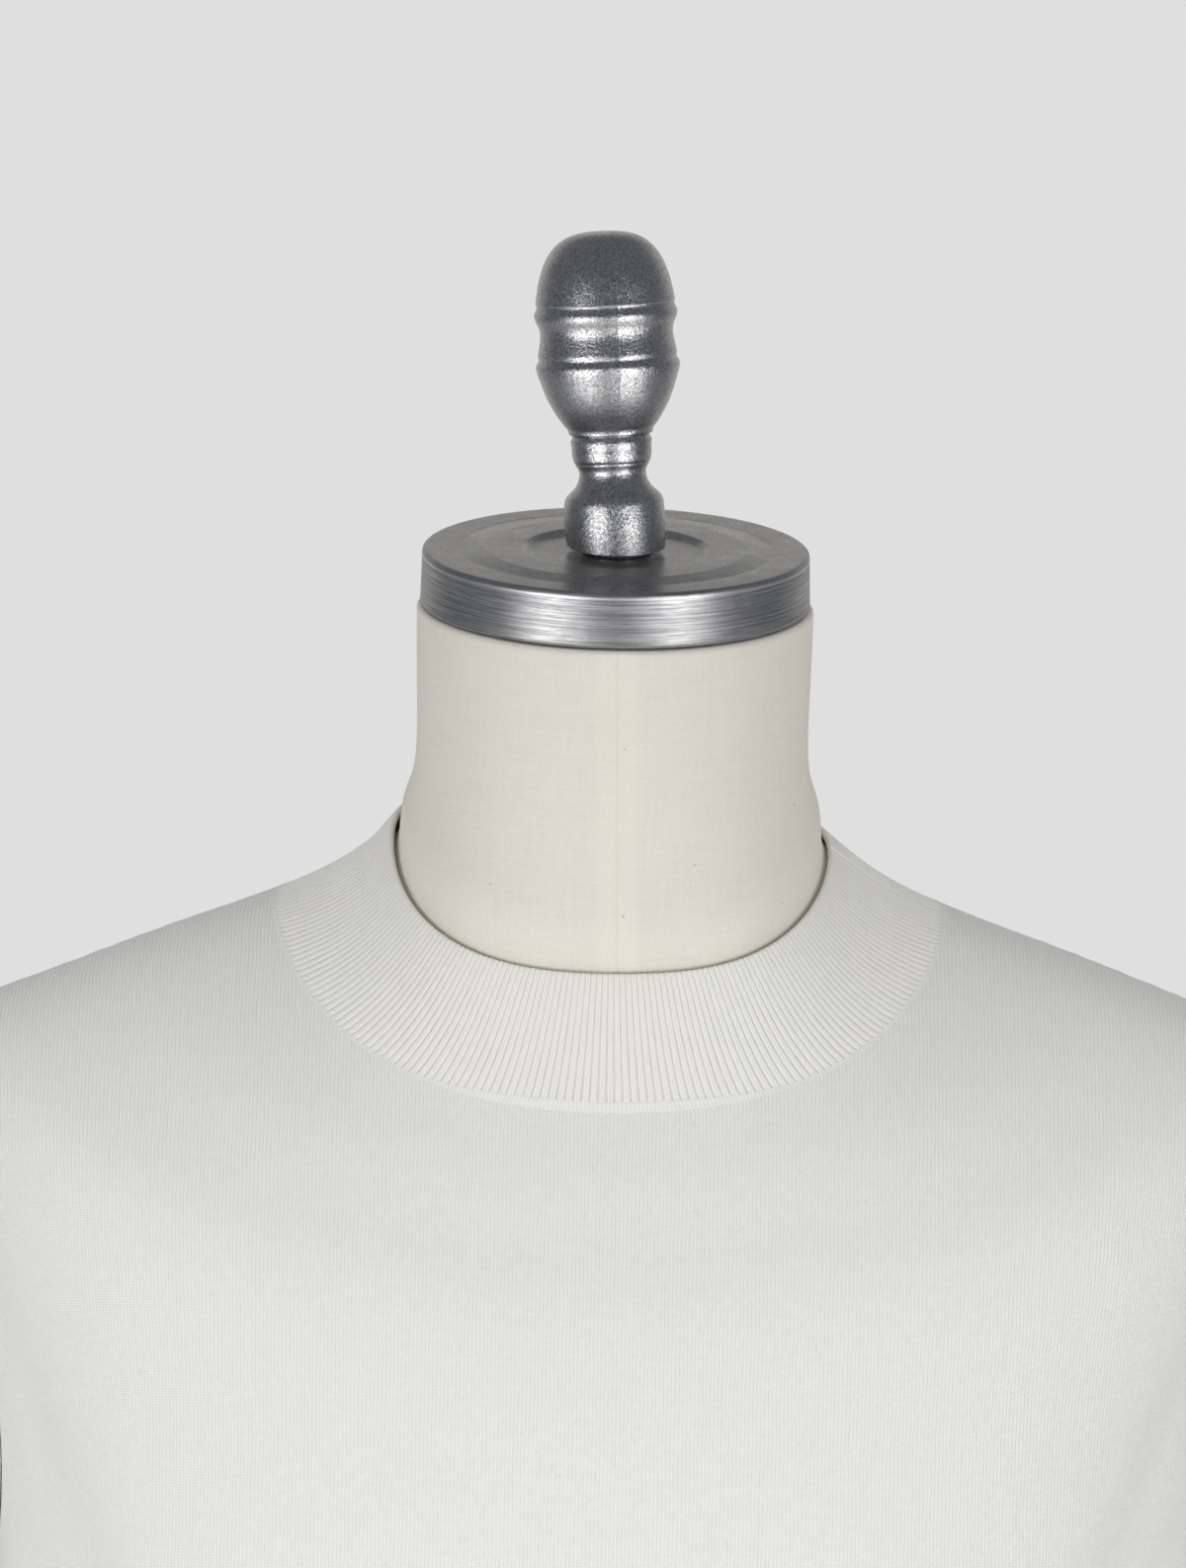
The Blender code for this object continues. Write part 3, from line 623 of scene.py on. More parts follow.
def sleeve_points(share, turn):
    """The left sleeve's outer face, at shares of its length and turns down its front from the top."""
    lowness = (1 - np.cos(turn)) / 2
    level = SHOULDER_LEVEL + (UNDERARM_LEVEL - SHOULDER_LEVEL) * lowness
    angle = pi / 2 - ARMHOLE_SPREAD * np.sin(turn)
    pitch = SLEEVE_START_TOP + (SLEEVE_START_UNDERARM - SLEEVE_START_TOP) * lowness
    leave = unit(np.stack([np.cos(pitch), SLEEVE_FLARE * np.sin(turn), -np.sin(pitch)], axis=-1))
    gap = SLEEVE_GAP + UNDERARM_EASE * lowness**2
    start = worn(level, angle) + leave * gap[..., None]
    axis = np.array([cos(SLEEVE_FALL), 0.0, -sin(SLEEVE_FALL)])
    up = np.array([sin(SLEEVE_FALL), 0.0, cos(SLEEVE_FALL)])
    end = CUFF_CENTRE + up * CUFF_HALF_LENGTH * np.cos(turn)[..., None]
    end[..., 1] -= CUFF_HALF_DEPTH * np.sin(turn)
    reach = np.linalg.norm(end - start, axis=-1, keepdims=True) * SLEEVE_FULLNESS
    return cubic(share[..., None], start, leave * reach, end, axis * reach)


def make_sleeve(name, node, side, material):
    """A sleeve on the wearer's left, side 1, or right, side -1."""
    turns = np.linspace(0, 2 * pi, 160, endpoint=False)
    near = np.array([0.0, 0.0008, 0.0017, 0.0028, 0.0042]) / SLEEVE_LENGTH
    cuff = 1 - EDGE_STEPS / SLEEVE_LENGTH
    shares = np.concatenate([near, np.linspace(near[-1], cuff[0], 46)[1:-1], cuff])
    turn, share = np.meshgrid(turns, shares)
    points = sleeve_points(share, turn)
    normals = -normals_of(sleeve_points, share, turn, 0.0, 1.0)
    from_armhole = share * SLEEVE_LENGTH
    fold = creased(SLEEVE_CREASES, SLEEVE_CREASE_RADIUS, share, turn + 0.3 * (side < 0))
    fold *= smooth_step(from_armhole, 0.0, 0.02)
    under = (turn - pi) * SLEEVE_CREASE_RADIUS
    lift = fold - SEAM_DIP * bump(from_armhole, SEAM_ROUNDING) - SEAM_DIP * bump(under, SEAM_ROUNDING)
    lift += PUCKER * np.sin(turn * 37 + 2 * np.sin(turn * 5)) * bump(from_armhole, 0.006)
    lift += hem_relief((1 - share) * SLEEVE_LENGTH)
    outer = points + normals * lift[..., None]
    inner = points + normals * (fold - CLOTH_THICKNESS)[..., None]
    places = unrolled(points)
    if side < 0:
        outer, inner, normals = (grid[:, ::-1] * [-1.0, 1.0, 1.0] for grid in (outer, inner, normals))
        places = places[:, ::-1]
    piece = wall(name, node, outer[:, ::-1], inner[:, ::-1], places[:, ::-1], True, material)
    from_cuff = (1 - shares) * SLEEVE_LENGTH
    return piece, stitch_rows(f"{name}_cuff", wrapped(outer), wrapped(normals), from_cuff, material)


def even_angles(level, count):
    """Angles that cut a ring of the cloth into equal lengths."""
    fine = np.linspace(0, 2 * pi, 2881)
    lengths = lengths_along(on_rings(WORN_CURVES, np.full(fine.shape, level), fine))
    return np.interp(np.linspace(0, lengths[-1], count, endpoint=False), lengths, fine)


def link_width(angle):
    """How wide the plain strip is between the ribs and the panels, in metres."""
    off_centre = np.abs(turned_from(angle, 0.0))
    share = smooth_step(off_centre, radians(10), radians(37))
    return LINK_WIDTH_FRONT + (LINK_WIDTH_ROUND - LINK_WIDTH_FRONT) * share


def make_collar(material):
    """The ribbed band round the neck, folded at the neckline and plain inside."""
    angles = even_angles(NECKLINE_LEVEL / 2, RIB_COUNT * RIB_COLUMNS)
    ribs = np.arange(RIB_COUNT * RIB_COLUMNS) / RIB_COLUMNS
    fold = COLLAR_THICKNESS / 2
    top = NECKLINE_LEVEL + fold * 10
    levels = np.concatenate([np.linspace(top, -0.055, 17), np.linspace(-0.046, -SEAM_LEVEL, 12)])
    level, angle = np.meshgrid(levels, angles, indexing="ij")
    points, normals = worn(level, angle), outward(level, angle)
    sideways = smooth_step(np.abs(np.sin(angle)), 0.72, 0.99)
    shallow = RIB_SHALLOW * (1 - 0.8 * sideways)
    relief = RIB_DEEP + (shallow - RIB_DEEP) * smooth_step(-level, 0.20, 0.41)
    relief *= smooth_step(-level / 10 - link_width(angle), 0.0, 0.0013)
    valley = bump(np.abs((ribs + 0.5) % 1 - 0.5), RIB_VALLEY)
    uneven = 1 + 0.08 * np.sin(ribs * 1.7 + 2 * np.sin(ribs * 0.31))
    lift = -relief * (valley * uneven)[None, :]
    seam = np.abs(angle - CLOSING_SEAM) * CLOSING_RADIUS
    lift -= CLOSING_DIP[0] * bump(seam, CLOSING_DIP[1])
    lift += CLOSING_RIDGE[1] * bump(seam - CLOSING_RIDGE[0], CLOSING_RIDGE[2])
    lift += COLLAR_WAVE * np.sin(angle * 7 + 1.1) * smooth_step(-level, 0.05, 0.2)
    outer = points + normals * lift[..., None]
    onward = unit(points[1] - points[0])
    bend = points[0] - normals[0] * fold
    lip = [
        bend + normals[0] * (fold + lift[0] * cos(turn / 2) ** 2)[:, None] * cos(turn)
        - onward * (fold + lift[0])[:, None] * sin(turn)
        for turn in np.linspace(pi, 0, 8)[1:-1]
    ]
    inner_levels = np.linspace(top, -SEAM_LEVEL, 9)
    inside = np.meshgrid(inner_levels, angles, indexing="ij")
    inner = worn(*inside) - outward(*inside) * COLLAR_THICKNESS
    over = np.linspace(LIP_PLACE, NECKLINE_LEVEL / 10, len(lip))
    depth = np.concatenate([inner_levels[::-1] / 10 - 0.1, over, levels / 10])
    places = np.stack(np.meshgrid(np.append(ribs, RIB_COUNT) * RIB_PITCH, depth), axis=-1)
    shell = Shell("rib_collar")
    numbers = wrapped(shell.add(np.concatenate([inner[::-1], np.array(lip), outer])))
    shell.skin(numbers, places)
    shell.band([numbers[-1], numbers[0]], places[-1])
    return shell.make(material, "collar", 75)


def make_link(material):
    """The band of looped stitches that links the collar to the panels, scalloped where the ribs end."""
    count = RIB_COUNT * LINK_COLUMNS
    angles = even_angles(0.0, count)
    width = link_width(angles)
    scallop = LINK_SCALLOP * np.cos(2 * pi * (np.arange(count) / LINK_COLUMNS))
    rows = []
    for across, height in LINK_PROFILE:
        level = (LINK_LAP - across * (width + LINK_LAP + scallop * smooth_step(across, 0.3, 1.0))) * 10
        rows.append(worn(level, angles) + outward(level, angles) * (height * LINK_HEIGHT - LINK_SINK))
    shell = Shell("linking_band")
    numbers = wrapped(shell.add(np.array(rows)))
    numbers = np.concatenate([numbers, numbers[:1]])
    u = np.arange(count + 1) / LINK_COLUMNS * RIB_PITCH
    v = np.array([across for across, _ in LINK_PROFILE + LINK_PROFILE[:1]]) * LINK_WIDTH_FRONT
    shell.skin(numbers[::-1], np.stack(np.meshgrid(u, v), axis=-1)[::-1])
    return shell.make(material, sharp=60)


# The dress form

def on_form(level, angle):
    """Points of the form's trunk and neck, alike on both sides."""
    return on_rings(FORM_CURVES, level, angle)


def make_torso(material):
    """The canvas-covered trunk and neck, with a seam down its centre front and back."""
    top, foot = NECK[0].level, TRUNK[-1].level
    levels = np.concatenate([
        np.linspace(top + NECK_ROUNDING * 10, -0.40, 64), np.linspace(-0.40, SHOULDER_LEVEL, 24)[1:],
        np.linspace(SHOULDER_LEVEL, foot, 60)[1:],
    ])
    wide = np.linspace(radians(10), radians(170), 120)
    close = np.linspace(-radians(9.5), radians(9.5), 56)
    angles = np.concatenate([wide - pi, close, wide, close + pi])
    level, angle = np.meshgrid(levels, angles, indexing="ij")
    points, normals = on_form(level, angle), normals_of(on_form, level, angle, top, foot)
    points[..., 2] -= left_drop(level, angle)
    seam_at = STRIP_START + STRIP_SLANT * (level - top) / 10 * np.sign(np.cos(angle))
    off_centre = np.abs(points[..., 0] - seam_at) - STRIP_WAVE * np.sin(level * 9)
    lift = STRIP_HEIGHT * (1 - smooth_step(off_centre, CENTRE_STRIP - 0.0008, CENTRE_STRIP + 0.0004))
    lift -= CANVAS_DENT[0] * bump(off_centre, CANVAS_DENT[1])
    pucker = CANVAS_PUCKER[0] * np.sin(level * 160 + 3 * np.sin(level * 21))
    lift += pucker * bump(off_centre, CANVAS_PUCKER[1])
    uneven = CANVAS_WAVE * np.sin(angle * 5 + level * 2.1) * np.sin(level * 4.3 + angle * 2)
    lift += uneven * smooth_step(level, -0.40, -0.60)
    points = points + normals * lift[..., None]
    radial = unit(points[0] - points[0].mean(axis=0)) * NECK_ROUNDING
    rise = unit(points[0] - points[1]) * NECK_ROUNDING
    lip = [
        points[0] - radial * (1 - cos(turn)) + rise * sin(turn)
        for turn in np.linspace(pi / 2, 0, 6)[:-1]
    ]
    rows = np.concatenate([np.array(lip), points])
    places = unrolled(rows)
    centre = len(wide) + int(np.argmin(np.abs(close)))
    places[..., 0] -= places[:, centre:centre + 1, 0]
    shell = Shell("canvas_form")
    shell.tube(rows, places)
    return shell.make(material, "form_torso")


def softened(outline, step):
    """A finer outline with its corners cut."""
    fine = [np.array(outline[:1])]
    for one, other in zip(outline, outline[1:]):
        count = max(int(np.linalg.norm(np.subtract(other, one)) / step), 1)
        fine.append(np.linspace(one, other, count + 1)[1:])
    fine = np.concatenate(fine)
    near, far = fine[:-1] * 0.75 + fine[1:] * 0.25, fine[:-1] * 0.25 + fine[1:] * 0.75
    return np.concatenate([fine[:1], np.stack([near, far], axis=1).reshape(-1, 2), fine[-1:]])


def splined(stretches, step):
    """Smooth curves through an outline's stretches, with crisp edges between them."""
    found = []
    for turned in stretches:
        if len(turned) > 2:
            lengths = lengths_along(turned)
            fine = np.linspace(0, lengths[-1], max(int(lengths[-1] / step), 3))
            columns = [(values, slopes(lengths, values)) for values in turned.T]
            turned = np.stack(along_curves(lengths, columns, fine), axis=1)
        found.append(turned)
    return np.concatenate(found)


def make_turned(name, node, outline, steps, matrix, relief, material, ground=(0.0, 0.0, 1.0)):
    """A turned piece from a fine outline, with a relief. Its foot slants to ground with that normal."""
    outline = outline[outline[:, 0] > 1e-6]
    angles = np.linspace(pi, 3 * pi, steps, endpoint=False)
    radius, height = outline[:, :1], outline[:, 1:]
    x, y = radius * np.sin(angles), -radius * np.cos(angles)
    slant = (ground[0] * x + ground[1] * y) / ground[2] * (1 - smooth_step(height, FOOT_CUT, FOOT_SIDE))
    points = np.stack([x, y, height - slant], axis=-1)
    down = np.gradient(outline, axis=0)
    out = unit(np.stack([-down[:, 1], down[:, 0]], axis=1))
    if relief:
        lift = relief(points, np.broadcast_to(angles, x.shape), np.broadcast_to(height, x.shape))
        points[..., 0] += np.sin(angles) * out[:, :1] * lift
        points[..., 1] -= np.cos(angles) * out[:, :1] * lift
        points[..., 2] += out[:, 1:] * lift
    u = np.linspace(0, 2 * pi, steps + 1) * outline[:, 0].max()
    turned = np.array(matrix.to_3x3()) @ points.reshape(-1, 3).T
    shell = Shell(name)
    shell.tube(
        turned.T.reshape(points.shape) + np.array(matrix.translation),
        np.stack(np.meshgrid(u, lengths_along(outline)), axis=-1),
    )
    return shell.make(material, node, 40)


def raised(height):
    return Matrix.Translation((0.0, 0.0, height))


def neck_top():
    """The frame of the neck's top: its centre, with Z along the neck."""
    ring = NECK[0]
    centre = Vector((0.0, ring.side_y, SIDE_NECK_HEIGHT + ring.side_z))
    return Matrix.Translation(centre) @ Matrix.Rotation(CAP_TILT, 4, "X")


def roughly(points, scale, depth):
    """Uneven lumps of a casting, from smooth noise in space."""
    found = [noise.noise(Vector(point) * scale) for point in points.reshape(-1, 3)]
    return np.array(found).reshape(points.shape[:-1]) * depth


def finial_relief(points, angles, heights):
    """Lumps, shallow pits and the seam that the mould leaves down the front and the back."""
    lift = roughly(points, 260.0, 0.00003) + roughly(points, 800.0, 0.00002)
    strength = CASTING_RIDGE[0] * (0.6 + 0.4 * np.sin(heights * 900 + 2.5 * np.sin(heights * 310)))
    strength = strength * smooth_step(heights, 0.030, 0.036)
    for seam in (CASTING_SEAM, CASTING_SEAM + pi):
        away = np.abs(turned_from(angles, seam)) * CASTING_RADIUS
        lift += strength * bump(away, CASTING_RIDGE[1])
        for place in CASTING_BEADS:
            lift += BEAD_SIZE[0] * bump(away, BEAD_SIZE[1]) * bump(heights - place, BEAD_SIZE[2])
    return lift * smooth_step(np.hypot(points[..., 0], points[..., 1]), 0.0005, 0.004)


def cap_relief(points, *_):
    return roughly(points, 160.0, 0.00005)


# Finishes

class Value:
    """A node's output, which takes part in plain sums."""

    def __init__(self, tree, socket):
        self.tree = tree
        self.socket = socket

    def does(self, operation, *others):
        return self.tree.add("Math", 0, dict(enumerate((self, *others))), operation=operation)

    __add__ = partialmethod(does, "ADD")
    __sub__ = partialmethod(does, "SUBTRACT")
    __mul__ = partialmethod(does, "MULTIPLY")
    __truediv__ = partialmethod(does, "DIVIDE")
    __abs__ = partialmethod(does, "ABSOLUTE")

    def __rsub__(self, other):
        return self * -1.0 + other

    def axis(self, number):
        """One coordinate of a place."""
        return self.tree.add("SeparateXYZ", number, {0: self})

    def spread(self, low, high, to_low=0.0, to_high=1.0):
        """The value moved from one range to another, and held inside it."""
        ends = dict(enumerate((self, low, high, to_low, to_high)))
        return self.tree.add("MapRange", 0, ends, clamp=True)


class Nodes:
    """A node tree whose nodes are added and linked by plain calls."""

    def __init__(self, tree):
        self.nodes = tree.nodes
        self.links = tree.links

    def put(self, socket, value):
        """Links a socket to a value of the tree, or sets it to a plain one."""
        if isinstance(value, Value):
            self.links.new(value.socket, socket)
        elif socket.type == "RGBA":
            socket.default_value = (*value, 1.0)
        else:
            socket.default_value = value

    def add(self, kind, output, inputs, **settings):
        node = self.nodes.new("ShaderNode" + kind)
        for name, value in settings.items():
            setattr(node, name, value)
        for name, value in inputs.items():
            self.put(node.inputs[name], value)
        return Value(self, node.outputs[output])

    def blend(self, share, one, other):
        return self.add("Mix", 2, {0: share, 6: one, 7: other}, data_type="RGBA")

    def body(self):
        """The place in the part's own space."""
        return self.add("TexCoord", "Object", {})

    def noise(self, where, scale, detail=2.0, roughness=0.5, stretch=None):
        if stretch:
            where = self.add("Mapping", "Vector", {"Vector": where, "Scale": stretch})
        inputs = {"Vector": where, "Scale": scale, "Detail": detail, "Roughness": roughness}
        return self.add("TexNoise", 0, inputs)


class Finish(Nodes):
    """A material of one shader, whose base colour is built up by tints."""

    def __init__(self, name, **fixed):
        self.material = bpy.data.materials.new(name)
        self.material.use_nodes = True
        super().__init__(self.material.node_tree)
        for socket, value in fixed.items():
            self.set(socket.replace("_", " "), value)

    def set(self, socket, value):
        self.put(self.nodes["Principled BSDF"].inputs[socket], value)

    def place(self):
        """The pattern's place, and its u and v in metres."""
        pattern = self.add("UVMap", "UV", {}, uv_map="pattern")
        return pattern, pattern.axis(0), pattern.axis(1)

    def paint(self, share, one, other):
        self.colour = self.blend(share, one, other)

    def tint(self, share, colour):
        """Blends the colour so far with another."""
        self.colour = self.blend(share, self.colour, colour)

    def done(self, height, distance):
        """The material, with its colour and a relief of so many metres."""
        relief = {"Height": height, "Distance": distance, "Strength": 1.0}
        self.set("Base Color", self.colour)
        self.set("Normal", self.add("Bump", 0, relief))
        return self.material


# The soft nap that all the knit has
NAP = {"Sheen_Weight": 0.06, "Sheen_Roughness": 0.6, "Specular_IOR_Level": 0.25}


def loops(u, v, wale, course):
    """The height of plain knit: upright columns of V-shaped stitches, from 0 between columns to 1."""
    across = abs((u / wale).does("FRACT") - 0.5) * 2.0
    column = 1.0 - across.does("POWER", 2.5)
    slant = v / course + across * 0.55
    leg = (slant * (2 * pi)).does("COSINE") * 0.25 + 0.75
    return column * leg * across.spread(0.0, 0.22, 0.82, 1.0)


def knit_finish():
    """Fine plain knit in ivory wool, matte with a little nap."""
    finish = Finish("ivory_knit_cloth", Roughness=0.92, **NAP)
    pattern, u, v = finish.place()
    u = (finish.noise(pattern, 55.0) - 0.5) * 0.0011 + u
    v = (finish.noise(pattern, 38.0) - 0.5) * 0.0016 + v
    height = finish.noise(pattern, 1500.0, 3.0, 0.6) * 0.55 + loops(u, v, WALE, COURSE)
    height = finish.noise(pattern, 420.0, 1.0) * 0.5 + height
    # Painted shade: the colour darkens where the knit's relief lies low, in the hollows between the
    # stitches.
    finish.paint(height.spread(0.35, 1.25), (0.700, 0.683, 0.640), (0.815, 0.806, 0.772))
    patch = finish.noise(finish.body(), 14.0)
    finish.tint(patch.spread(0.35, 0.65, 0.0, 0.05), (0.70, 0.69, 0.65))
    return finish.done(height, 0.00022)


def rib_finish():
    """The doubled rib: stitches along each rib, and painted shade between the ribs that softens at the
    fold.
    """
    finish = Finish("ivory_rib_cloth", Roughness=0.92, **NAP)
    pattern, u, v = finish.place()
    height = finish.noise(pattern, 1500.0, 3.0, 0.6) * 0.6 + loops(u, v, RIB_PITCH / 2, COURSE * 1.1)
    # Painted shade: the colour darkens where the rib's stitches lie low.
    finish.paint(height.spread(0.25, 1.15), (0.785, 0.762, 0.708), (0.890, 0.873, 0.828))
    # Painted shade in the valleys between the ribs: weaker towards the fold and patchy.
    valley = abs((u / RIB_PITCH).does("FRACT") - 0.5).spread(0.27, 0.46)
    fold = NECKLINE_LEVEL / 10
    outside = v.spread(fold - 0.001, fold + 0.004, 0.15, 0.62)
    soft = finish.noise(pattern, 160.0).spread(0.35, 0.65, 0.65, 1.0)
    finish.tint(valley * outside * soft, (0.585, 0.560, 0.505))
    # Painted shade: a golden-brown band at the fold's edge next to the form, standing in for the dark
    # crevice between the collar and the neck.
    finish.tint(abs(v - LIP_PLACE).spread(0.0012, 0.0034, 0.9, 0.0), (0.80, 0.64, 0.40))
    patch = finish.noise(finish.body(), 22.0)
    finish.tint(patch.spread(0.35, 0.65, 0.0, 0.06), (0.74, 0.715, 0.66))
    return finish.done(height, 0.00016)


def yarn_finish():
    """The linking band's stitches, a little lighter than the rib."""
    finish = Finish("ivory_link_yarn", Roughness=0.9, **NAP)
    pattern, u, v = finish.place()
    height = finish.noise(pattern, 1400.0, 3.0, 0.6) * 0.7 + loops(u, v, RIB_PITCH / 2, COURSE)
    # Painted shade: the colour darkens where the stitches lie low.
    finish.paint(height.spread(0.3, 1.3), (0.745, 0.740, 0.708), (0.865, 0.858, 0.828))
    return finish.done(height, 0.00014)


def canvas_finish():
    """Plain-woven canvas with slubs and small dark flecks, paler along the centre seam's strip."""
    finish = Finish("form_canvas", Roughness=0.9, Specular_IOR_Level=0.25)
    pattern, u, v = finish.place()
    warp, weft = ((place * (2 * pi / CANVAS_THREAD)).does("SINE") for place in (u, v))
    slub_up = finish.noise(pattern, 700.0, stretch=(1.0, 0.08, 1.0))
    slub_across = finish.noise(pattern, 700.0, stretch=(0.08, 1.0, 1.0))
    height = (slub_up + slub_across) * 0.8 + (warp * weft * 0.5 + 0.5)
    # Painted shade: the colour darkens where the weave and its slubs lie low.
    finish.paint(height.spread(0.4, 1.5), (0.710, 0.668, 0.585), (0.822, 0.788, 0.712))
    off_centre = abs(u - (v * STRIP_SLANT + STRIP_START))
    strip = off_centre.spread(CENTRE_STRIP - 0.0020, CENTRE_STRIP + 0.0008, 0.50, 0.0)
    finish.tint(strip, (0.885, 0.825, 0.735))
    finish.tint(off_centre.spread(0.0001, 0.0005, 0.30, 0.0), (0.66, 0.60, 0.50))
    grain = finish.noise(pattern, 1100.0, 3.0, 0.7)
    finish.tint(grain.spread(0.35, 0.65, 0.0, 0.30), (0.66, 0.625, 0.56))
    cells = {"Vector": pattern, "Scale": 190.0, "Randomness": 1.0}
    size = finish.noise(pattern, 190.0, 0.0).spread(0.56, 0.72, 0.0, 0.085)
    fleck = finish.add("TexVoronoi", "Distance", cells).does("LESS_THAN", size)
    finish.tint(fleck * 0.55, (0.25, 0.21, 0.16))
    stain = finish.noise(finish.body(), 16.0, 3.0)
    finish.tint(stain.spread(0.40, 0.70, 0.0, 0.16), (0.72, 0.66, 0.56))
    return finish.done(height, 0.00010)


def cast_finish():
    """Cast pewter with pits and a dull bloom."""
    finish = Finish("cast_pewter", Metallic=1.0)
    body = finish.body()
    cloud = finish.noise(body, 120.0, 4.0, 0.6)
    finish.paint(cloud, (0.345, 0.347, 0.355), (0.52, 0.52, 0.527))
    speck = finish.noise(body, 1300.0, 3.0, 0.75)
    finish.tint(speck.spread(0.42, 0.60, 0.0, 0.45), (0.74, 0.74, 0.74))
    finish.tint(speck.spread(0.34, 0.48, 0.55, 0.0), (0.20, 0.202, 0.21))
    pit = finish.noise(body, 1000.0).spread(0.58, 0.70)
    finish.tint(pit * 0.3, (0.15, 0.152, 0.16))
    finish.set("Roughness", cloud.spread(0.3, 0.7, 0.18, 0.26))
    return finish.done(pit * -0.15 + finish.noise(body, 1500.0, 3.0, 0.65), 0.00018)


def brushed_finish():
    """The cap's pewter, dull on top and brushed round its side."""
    finish = Finish("brushed_pewter", Metallic=0.85)
    pattern, _, v = finish.place()
    body = finish.body()
    cloud = finish.noise(body, 120.0, 4.0, 0.6)
    side = v.spread(CAP_RADIUS - 0.0016, CAP_RADIUS - 0.0002)
    top = 1.0 - side
    finish.paint(cloud, (0.26, 0.258, 0.258), (0.37, 0.368, 0.365))
    speck = finish.noise(body, 1100.0, 3.0, 0.7).spread(0.40, 0.60)
    finish.tint(top * (speck * 0.50), (0.60, 0.59, 0.57))
    finish.tint(side * 0.75, (0.205, 0.207, 0.213))
    streaks = finish.noise(pattern, 1400.0, 4.0, 0.75, stretch=(0.02, 1.0, 1.0))
    finish.tint(streaks.spread(0.43, 0.58, 0.0, 0.85) * side, (0.43, 0.43, 0.435))
    # Painted highlight: a pale line round the rim at the top of the side.
    rim = abs(v - (CAP_RADIUS + 0.0007))
    finish.tint(rim.spread(0.0001, 0.0006, 0.5, 0.0), (0.85, 0.85, 0.85))
    # Painted reflection and shade: the top darkens towards its front, standing in for the finial's dark
    # reflection there.
    front = body.axis(1).spread(-0.060, -0.022, 0.45, 0.0)
    finish.tint(front * top, (0.10, 0.10, 0.10))
    finish.set("Roughness", side * 0.07 + cloud.spread(0.3, 0.7, 0.25, 0.33))
    grain = finish.noise(body, 1500.0, 3.0, 0.65)
    return finish.done(streaks * 1.5 * side + grain * top * 0.6, 0.00008)


def steel_finish():
    """Dark grey satin paint with a fine texture."""
    finish = Finish("grey_paint", Coat_Weight=0.15, Coat_Roughness=0.35)
    body = finish.body()
    cloud = finish.noise(body, 30.0, 3.0)
    finish.paint(cloud, (0.115, 0.117, 0.12), (0.165, 0.167, 0.17))
    finish.set("Roughness", cloud.spread(0.3, 0.7, 0.38, 0.50))
    return finish.done(finish.noise(body, 700.0), 0.00008)


def floor_finish():
    """A plain pale floor that ends softly a few metres out."""
    finish = Finish("pale_floor", Roughness=0.85)
    body = finish.body()
    finish.paint(finish.noise(body, 3.0, 3.0), (0.70, 0.70, 0.70), (0.73, 0.73, 0.73))
    away = finish.add("VectorMath", "Value", {0: body}, operation="LENGTH")
    finish.set("Alpha", away.spread(*FLOOR_FADE, 1.0, 0.0))
    return finish.done(finish.noise(body, 900.0), 0.00005)


# The studio

CAMERA_TARGET = Vector((0.0, -0.020, 0.860))
CAMERA_DISTANCE = 2.6
CAMERA_RISE = radians(6.5)
CAMERA_ROLL = radians(1.1)
CAMERA_LENS = 193.28
# How far the target lies off the picture's middle, for each metre away
FRAME_OFFSET = (18 / 8515, 42 / 8515)

BACKDROP = (0.738, 0.738, 0.738)
FLOOR_RADIUS = 3.0
FLOOR_FADE = (1.5, 2.9)     # from and to how far out it fades away
# How far back, and how far up, a direction points where the room starts and ends paling or darkening
ROOM_BACK = (0.52, 0.76)
ROOM_UP = (0.43, 0.50)
ROOM_DARK = (0.172, 0.180, 0.200)
ROOM_PALE = (0.61, 0.595, 0.565)

# The two tall lamps to either side of the camera, in metres from its target
TALL_TURN = radians(38)
TALL_DISTANCE = 1.3
TALL_FOOT = TALL_DISTANCE * tan(radians(-28))
TALL_TOP = TALL_DISTANCE * tan(radians(2))
TALL_LAMPS = [("lamp_left", -1, 0.62, 8.5), ("lamp_right", 1, 0.58, 7.9)]   # side, width and watts
TALL_COLOUR = (1.0, 0.997, 0.99)
# The wide soft ones, which the metal doesn't mirror: place from the target, width and watts
SOFT_LAMPS = [
    ("fill_above", (0.0, -0.1, 1.7), 2.2, 14.8),
    ("fill_left", (-1.8, -0.3, 0.6), 1.6, 4.2),
    ("fill_right", (1.8, -0.3, 0.6), 1.6, 4.1),
]
SOFT_COLOUR = (0.99, 0.995, 1.0)


def facing_along(direction):
    """The turn of a camera or lamp that looks along a direction."""
    return direction.to_track_quat("-Z", "Y").to_matrix().to_4x4()


def make_camera():
    camera = placed("camera", bpy.data.cameras.new("camera"))
    camera.data.lens = CAMERA_LENS
    camera.data.sensor_width = 36.0
    camera.data.clip_start = 0.05
    camera.data.clip_end = 60.0
    back = Vector((0.0, -cos(CAMERA_RISE), sin(CAMERA_RISE)))
    turn = facing_along(-back) @ Matrix.Rotation(CAMERA_ROLL, 4, "Z")
    right, up = turn.col[0].to_3d(), turn.col[1].to_3d()
    place = CAMERA_TARGET + back * CAMERA_DISTANCE
    place += (up * FRAME_OFFSET[1] - right * FRAME_OFFSET[0]) * CAMERA_DISTANCE
    camera.matrix_world = Matrix.Translation(place) @ turn
    bpy.context.scene.camera = camera


def make_lamp(name, place, faces, size, power, colour, mirrored):
    """A lamp at a place that faces another one, both from the camera's target."""
    lamp = bpy.data.lights.new(name, "AREA")
    lamp.shape = "RECTANGLE"
    lamp.size, lamp.size_y = size
    lamp.energy = power
    lamp.color = colour
    holder = placed(name, lamp)
    holder.matrix_world = Matrix.Translation(CAMERA_TARGET + place) @ facing_along(faces - place)
    holder.visible_camera = False
    holder.visible_glossy = mirrored


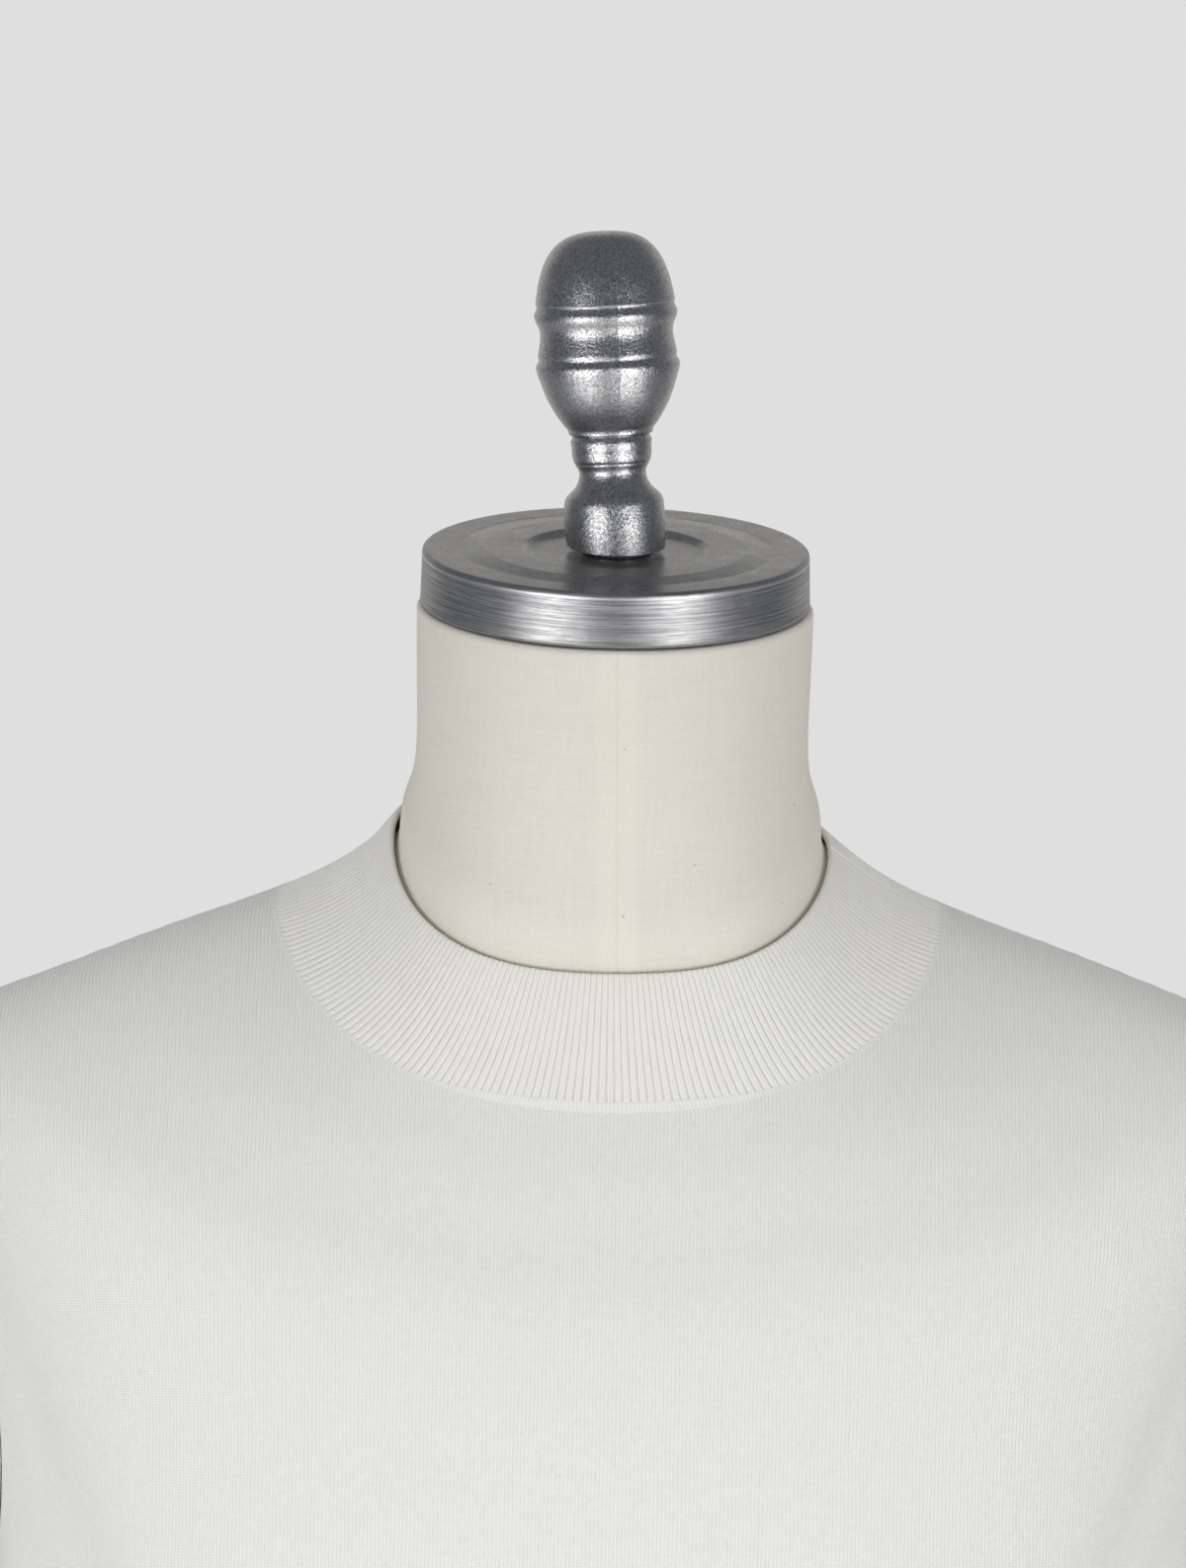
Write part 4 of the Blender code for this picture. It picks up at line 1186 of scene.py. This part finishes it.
def make_room():
    """The world: a plain backdrop for the camera, and a dark room with a pale end for the metal."""
    world = bpy.data.worlds.new("studio")
    bpy.context.scene.world = world
    world.use_nodes = True
    tree = Nodes(world.node_tree)
    toward = tree.add("TexCoord", "Generated", {})
    pale = toward.axis(1).spread(*ROOM_BACK) * toward.axis(2).spread(*ROOM_UP, 1.0, 0.0)
    room = tree.nodes["Background"]
    tree.put(room.inputs[0], tree.blend(pale, ROOM_DARK, ROOM_PALE))
    backdrop = tree.add("Background", 0, {0: BACKDROP})
    rays = tree.add("LightPath", "Is Camera Ray", {})
    mix = tree.add("MixShader", 0, {0: rays, 1: Value(tree, room.outputs[0]), 2: backdrop})
    tree.put(tree.nodes["World Output"].inputs[0], mix)


def make_studio():
    make_room()
    middle = Vector((0.0, 0.0, (TALL_FOOT + TALL_TOP) / 2))
    for name, side, width, power in TALL_LAMPS:
        out = Vector((sin(side * TALL_TURN), -cos(TALL_TURN), 0.0)) * TALL_DISTANCE
        size = (width, TALL_TOP - TALL_FOOT)
        make_lamp(name, middle + out, middle, size, power, TALL_COLOUR, True)
    for name, place, width, power in SOFT_LAMPS:
        make_lamp(name, Vector(place), Vector(), (width, width), power, SOFT_COLOUR, False)
    bpy.ops.mesh.primitive_circle_add(vertices=128, radius=FLOOR_RADIUS, fill_type="NGON")
    floor = bpy.context.object
    floor.name = "floor"
    floor.data.materials.append(floor_finish())
    bpy.context.scene.view_settings.view_transform = "Standard"


# The whole

def make_metalwork():
    """The neck cap, the finial, the base and the pole."""
    brushed, cast, paint = brushed_finish(), cast_finish(), steel_finish()
    cap = softened(CAP_OUTLINE, 0.0016)
    cap_at = neck_top() @ raised(SEAM_GAP)
    make_turned("pewter_cap", "neck_cap", cap, 256, cap_at, cap_relief, brushed)
    dish = neck_top() @ raised(CAP_THICKNESS - DISH_DEPTH + 2 * SEAM_GAP)
    lean = Matrix.Translation(dish.translation) @ Matrix.Rotation(FINIAL_LEAN, 4, "Y")
    ground = lean.to_3x3().inverted() @ dish.to_3x3().col[2]
    knob = splined([np.array(stretch) / 10000 for stretch in FINIAL_OUTLINE], 0.0007)
    make_turned("pewter_finial", "finial", knob, 320, lean, finial_relief, cast, ground)
    base = softened([
        (0.0, BASE_THICKNESS), (BASE_RADIUS - BASE_BEVEL, BASE_THICKNESS),
        (BASE_RADIUS, BASE_THICKNESS - BASE_BEVEL), (BASE_RADIUS, 0.0008),
        (BASE_RADIUS - 0.0008, 0.0), (0.0, 0.0),
    ], 0.006)
    make_turned("painted_base", "stand_base", base, 160, raised(0.0), None, paint)
    length = SIDE_NECK_HEIGHT + TRUNK[-1].side_z - BASE_THICKNESS - 2 * SEAM_GAP
    pole = softened([(0.0, length), (POLE_RADIUS, length), (POLE_RADIUS, 0.0), (0.0, 0.0)], 0.006)
    pole_at = raised(BASE_THICKNESS + SEAM_GAP)
    make_turned("painted_pole", "stand_pole", pole, 96, pole_at, None, paint)


def main():
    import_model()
    knit = knit_finish()
    front, front_rows = make_panel("knit_front", "front", 0.0, knit)
    back, back_rows = make_panel("knit_back", "back", pi, knit)
    left, left_rows = make_sleeve("knit_sleeve_left", "sleeve_left", 1, knit)
    right, right_rows = make_sleeve("knit_sleeve_right", "sleeve_right", -1, knit)
    collar = make_collar(rib_finish())
    link = make_link(yarn_finish())
    form = make_torso(canvas_finish())
    make_metalwork()
    make_studio()
    make_camera()


main()
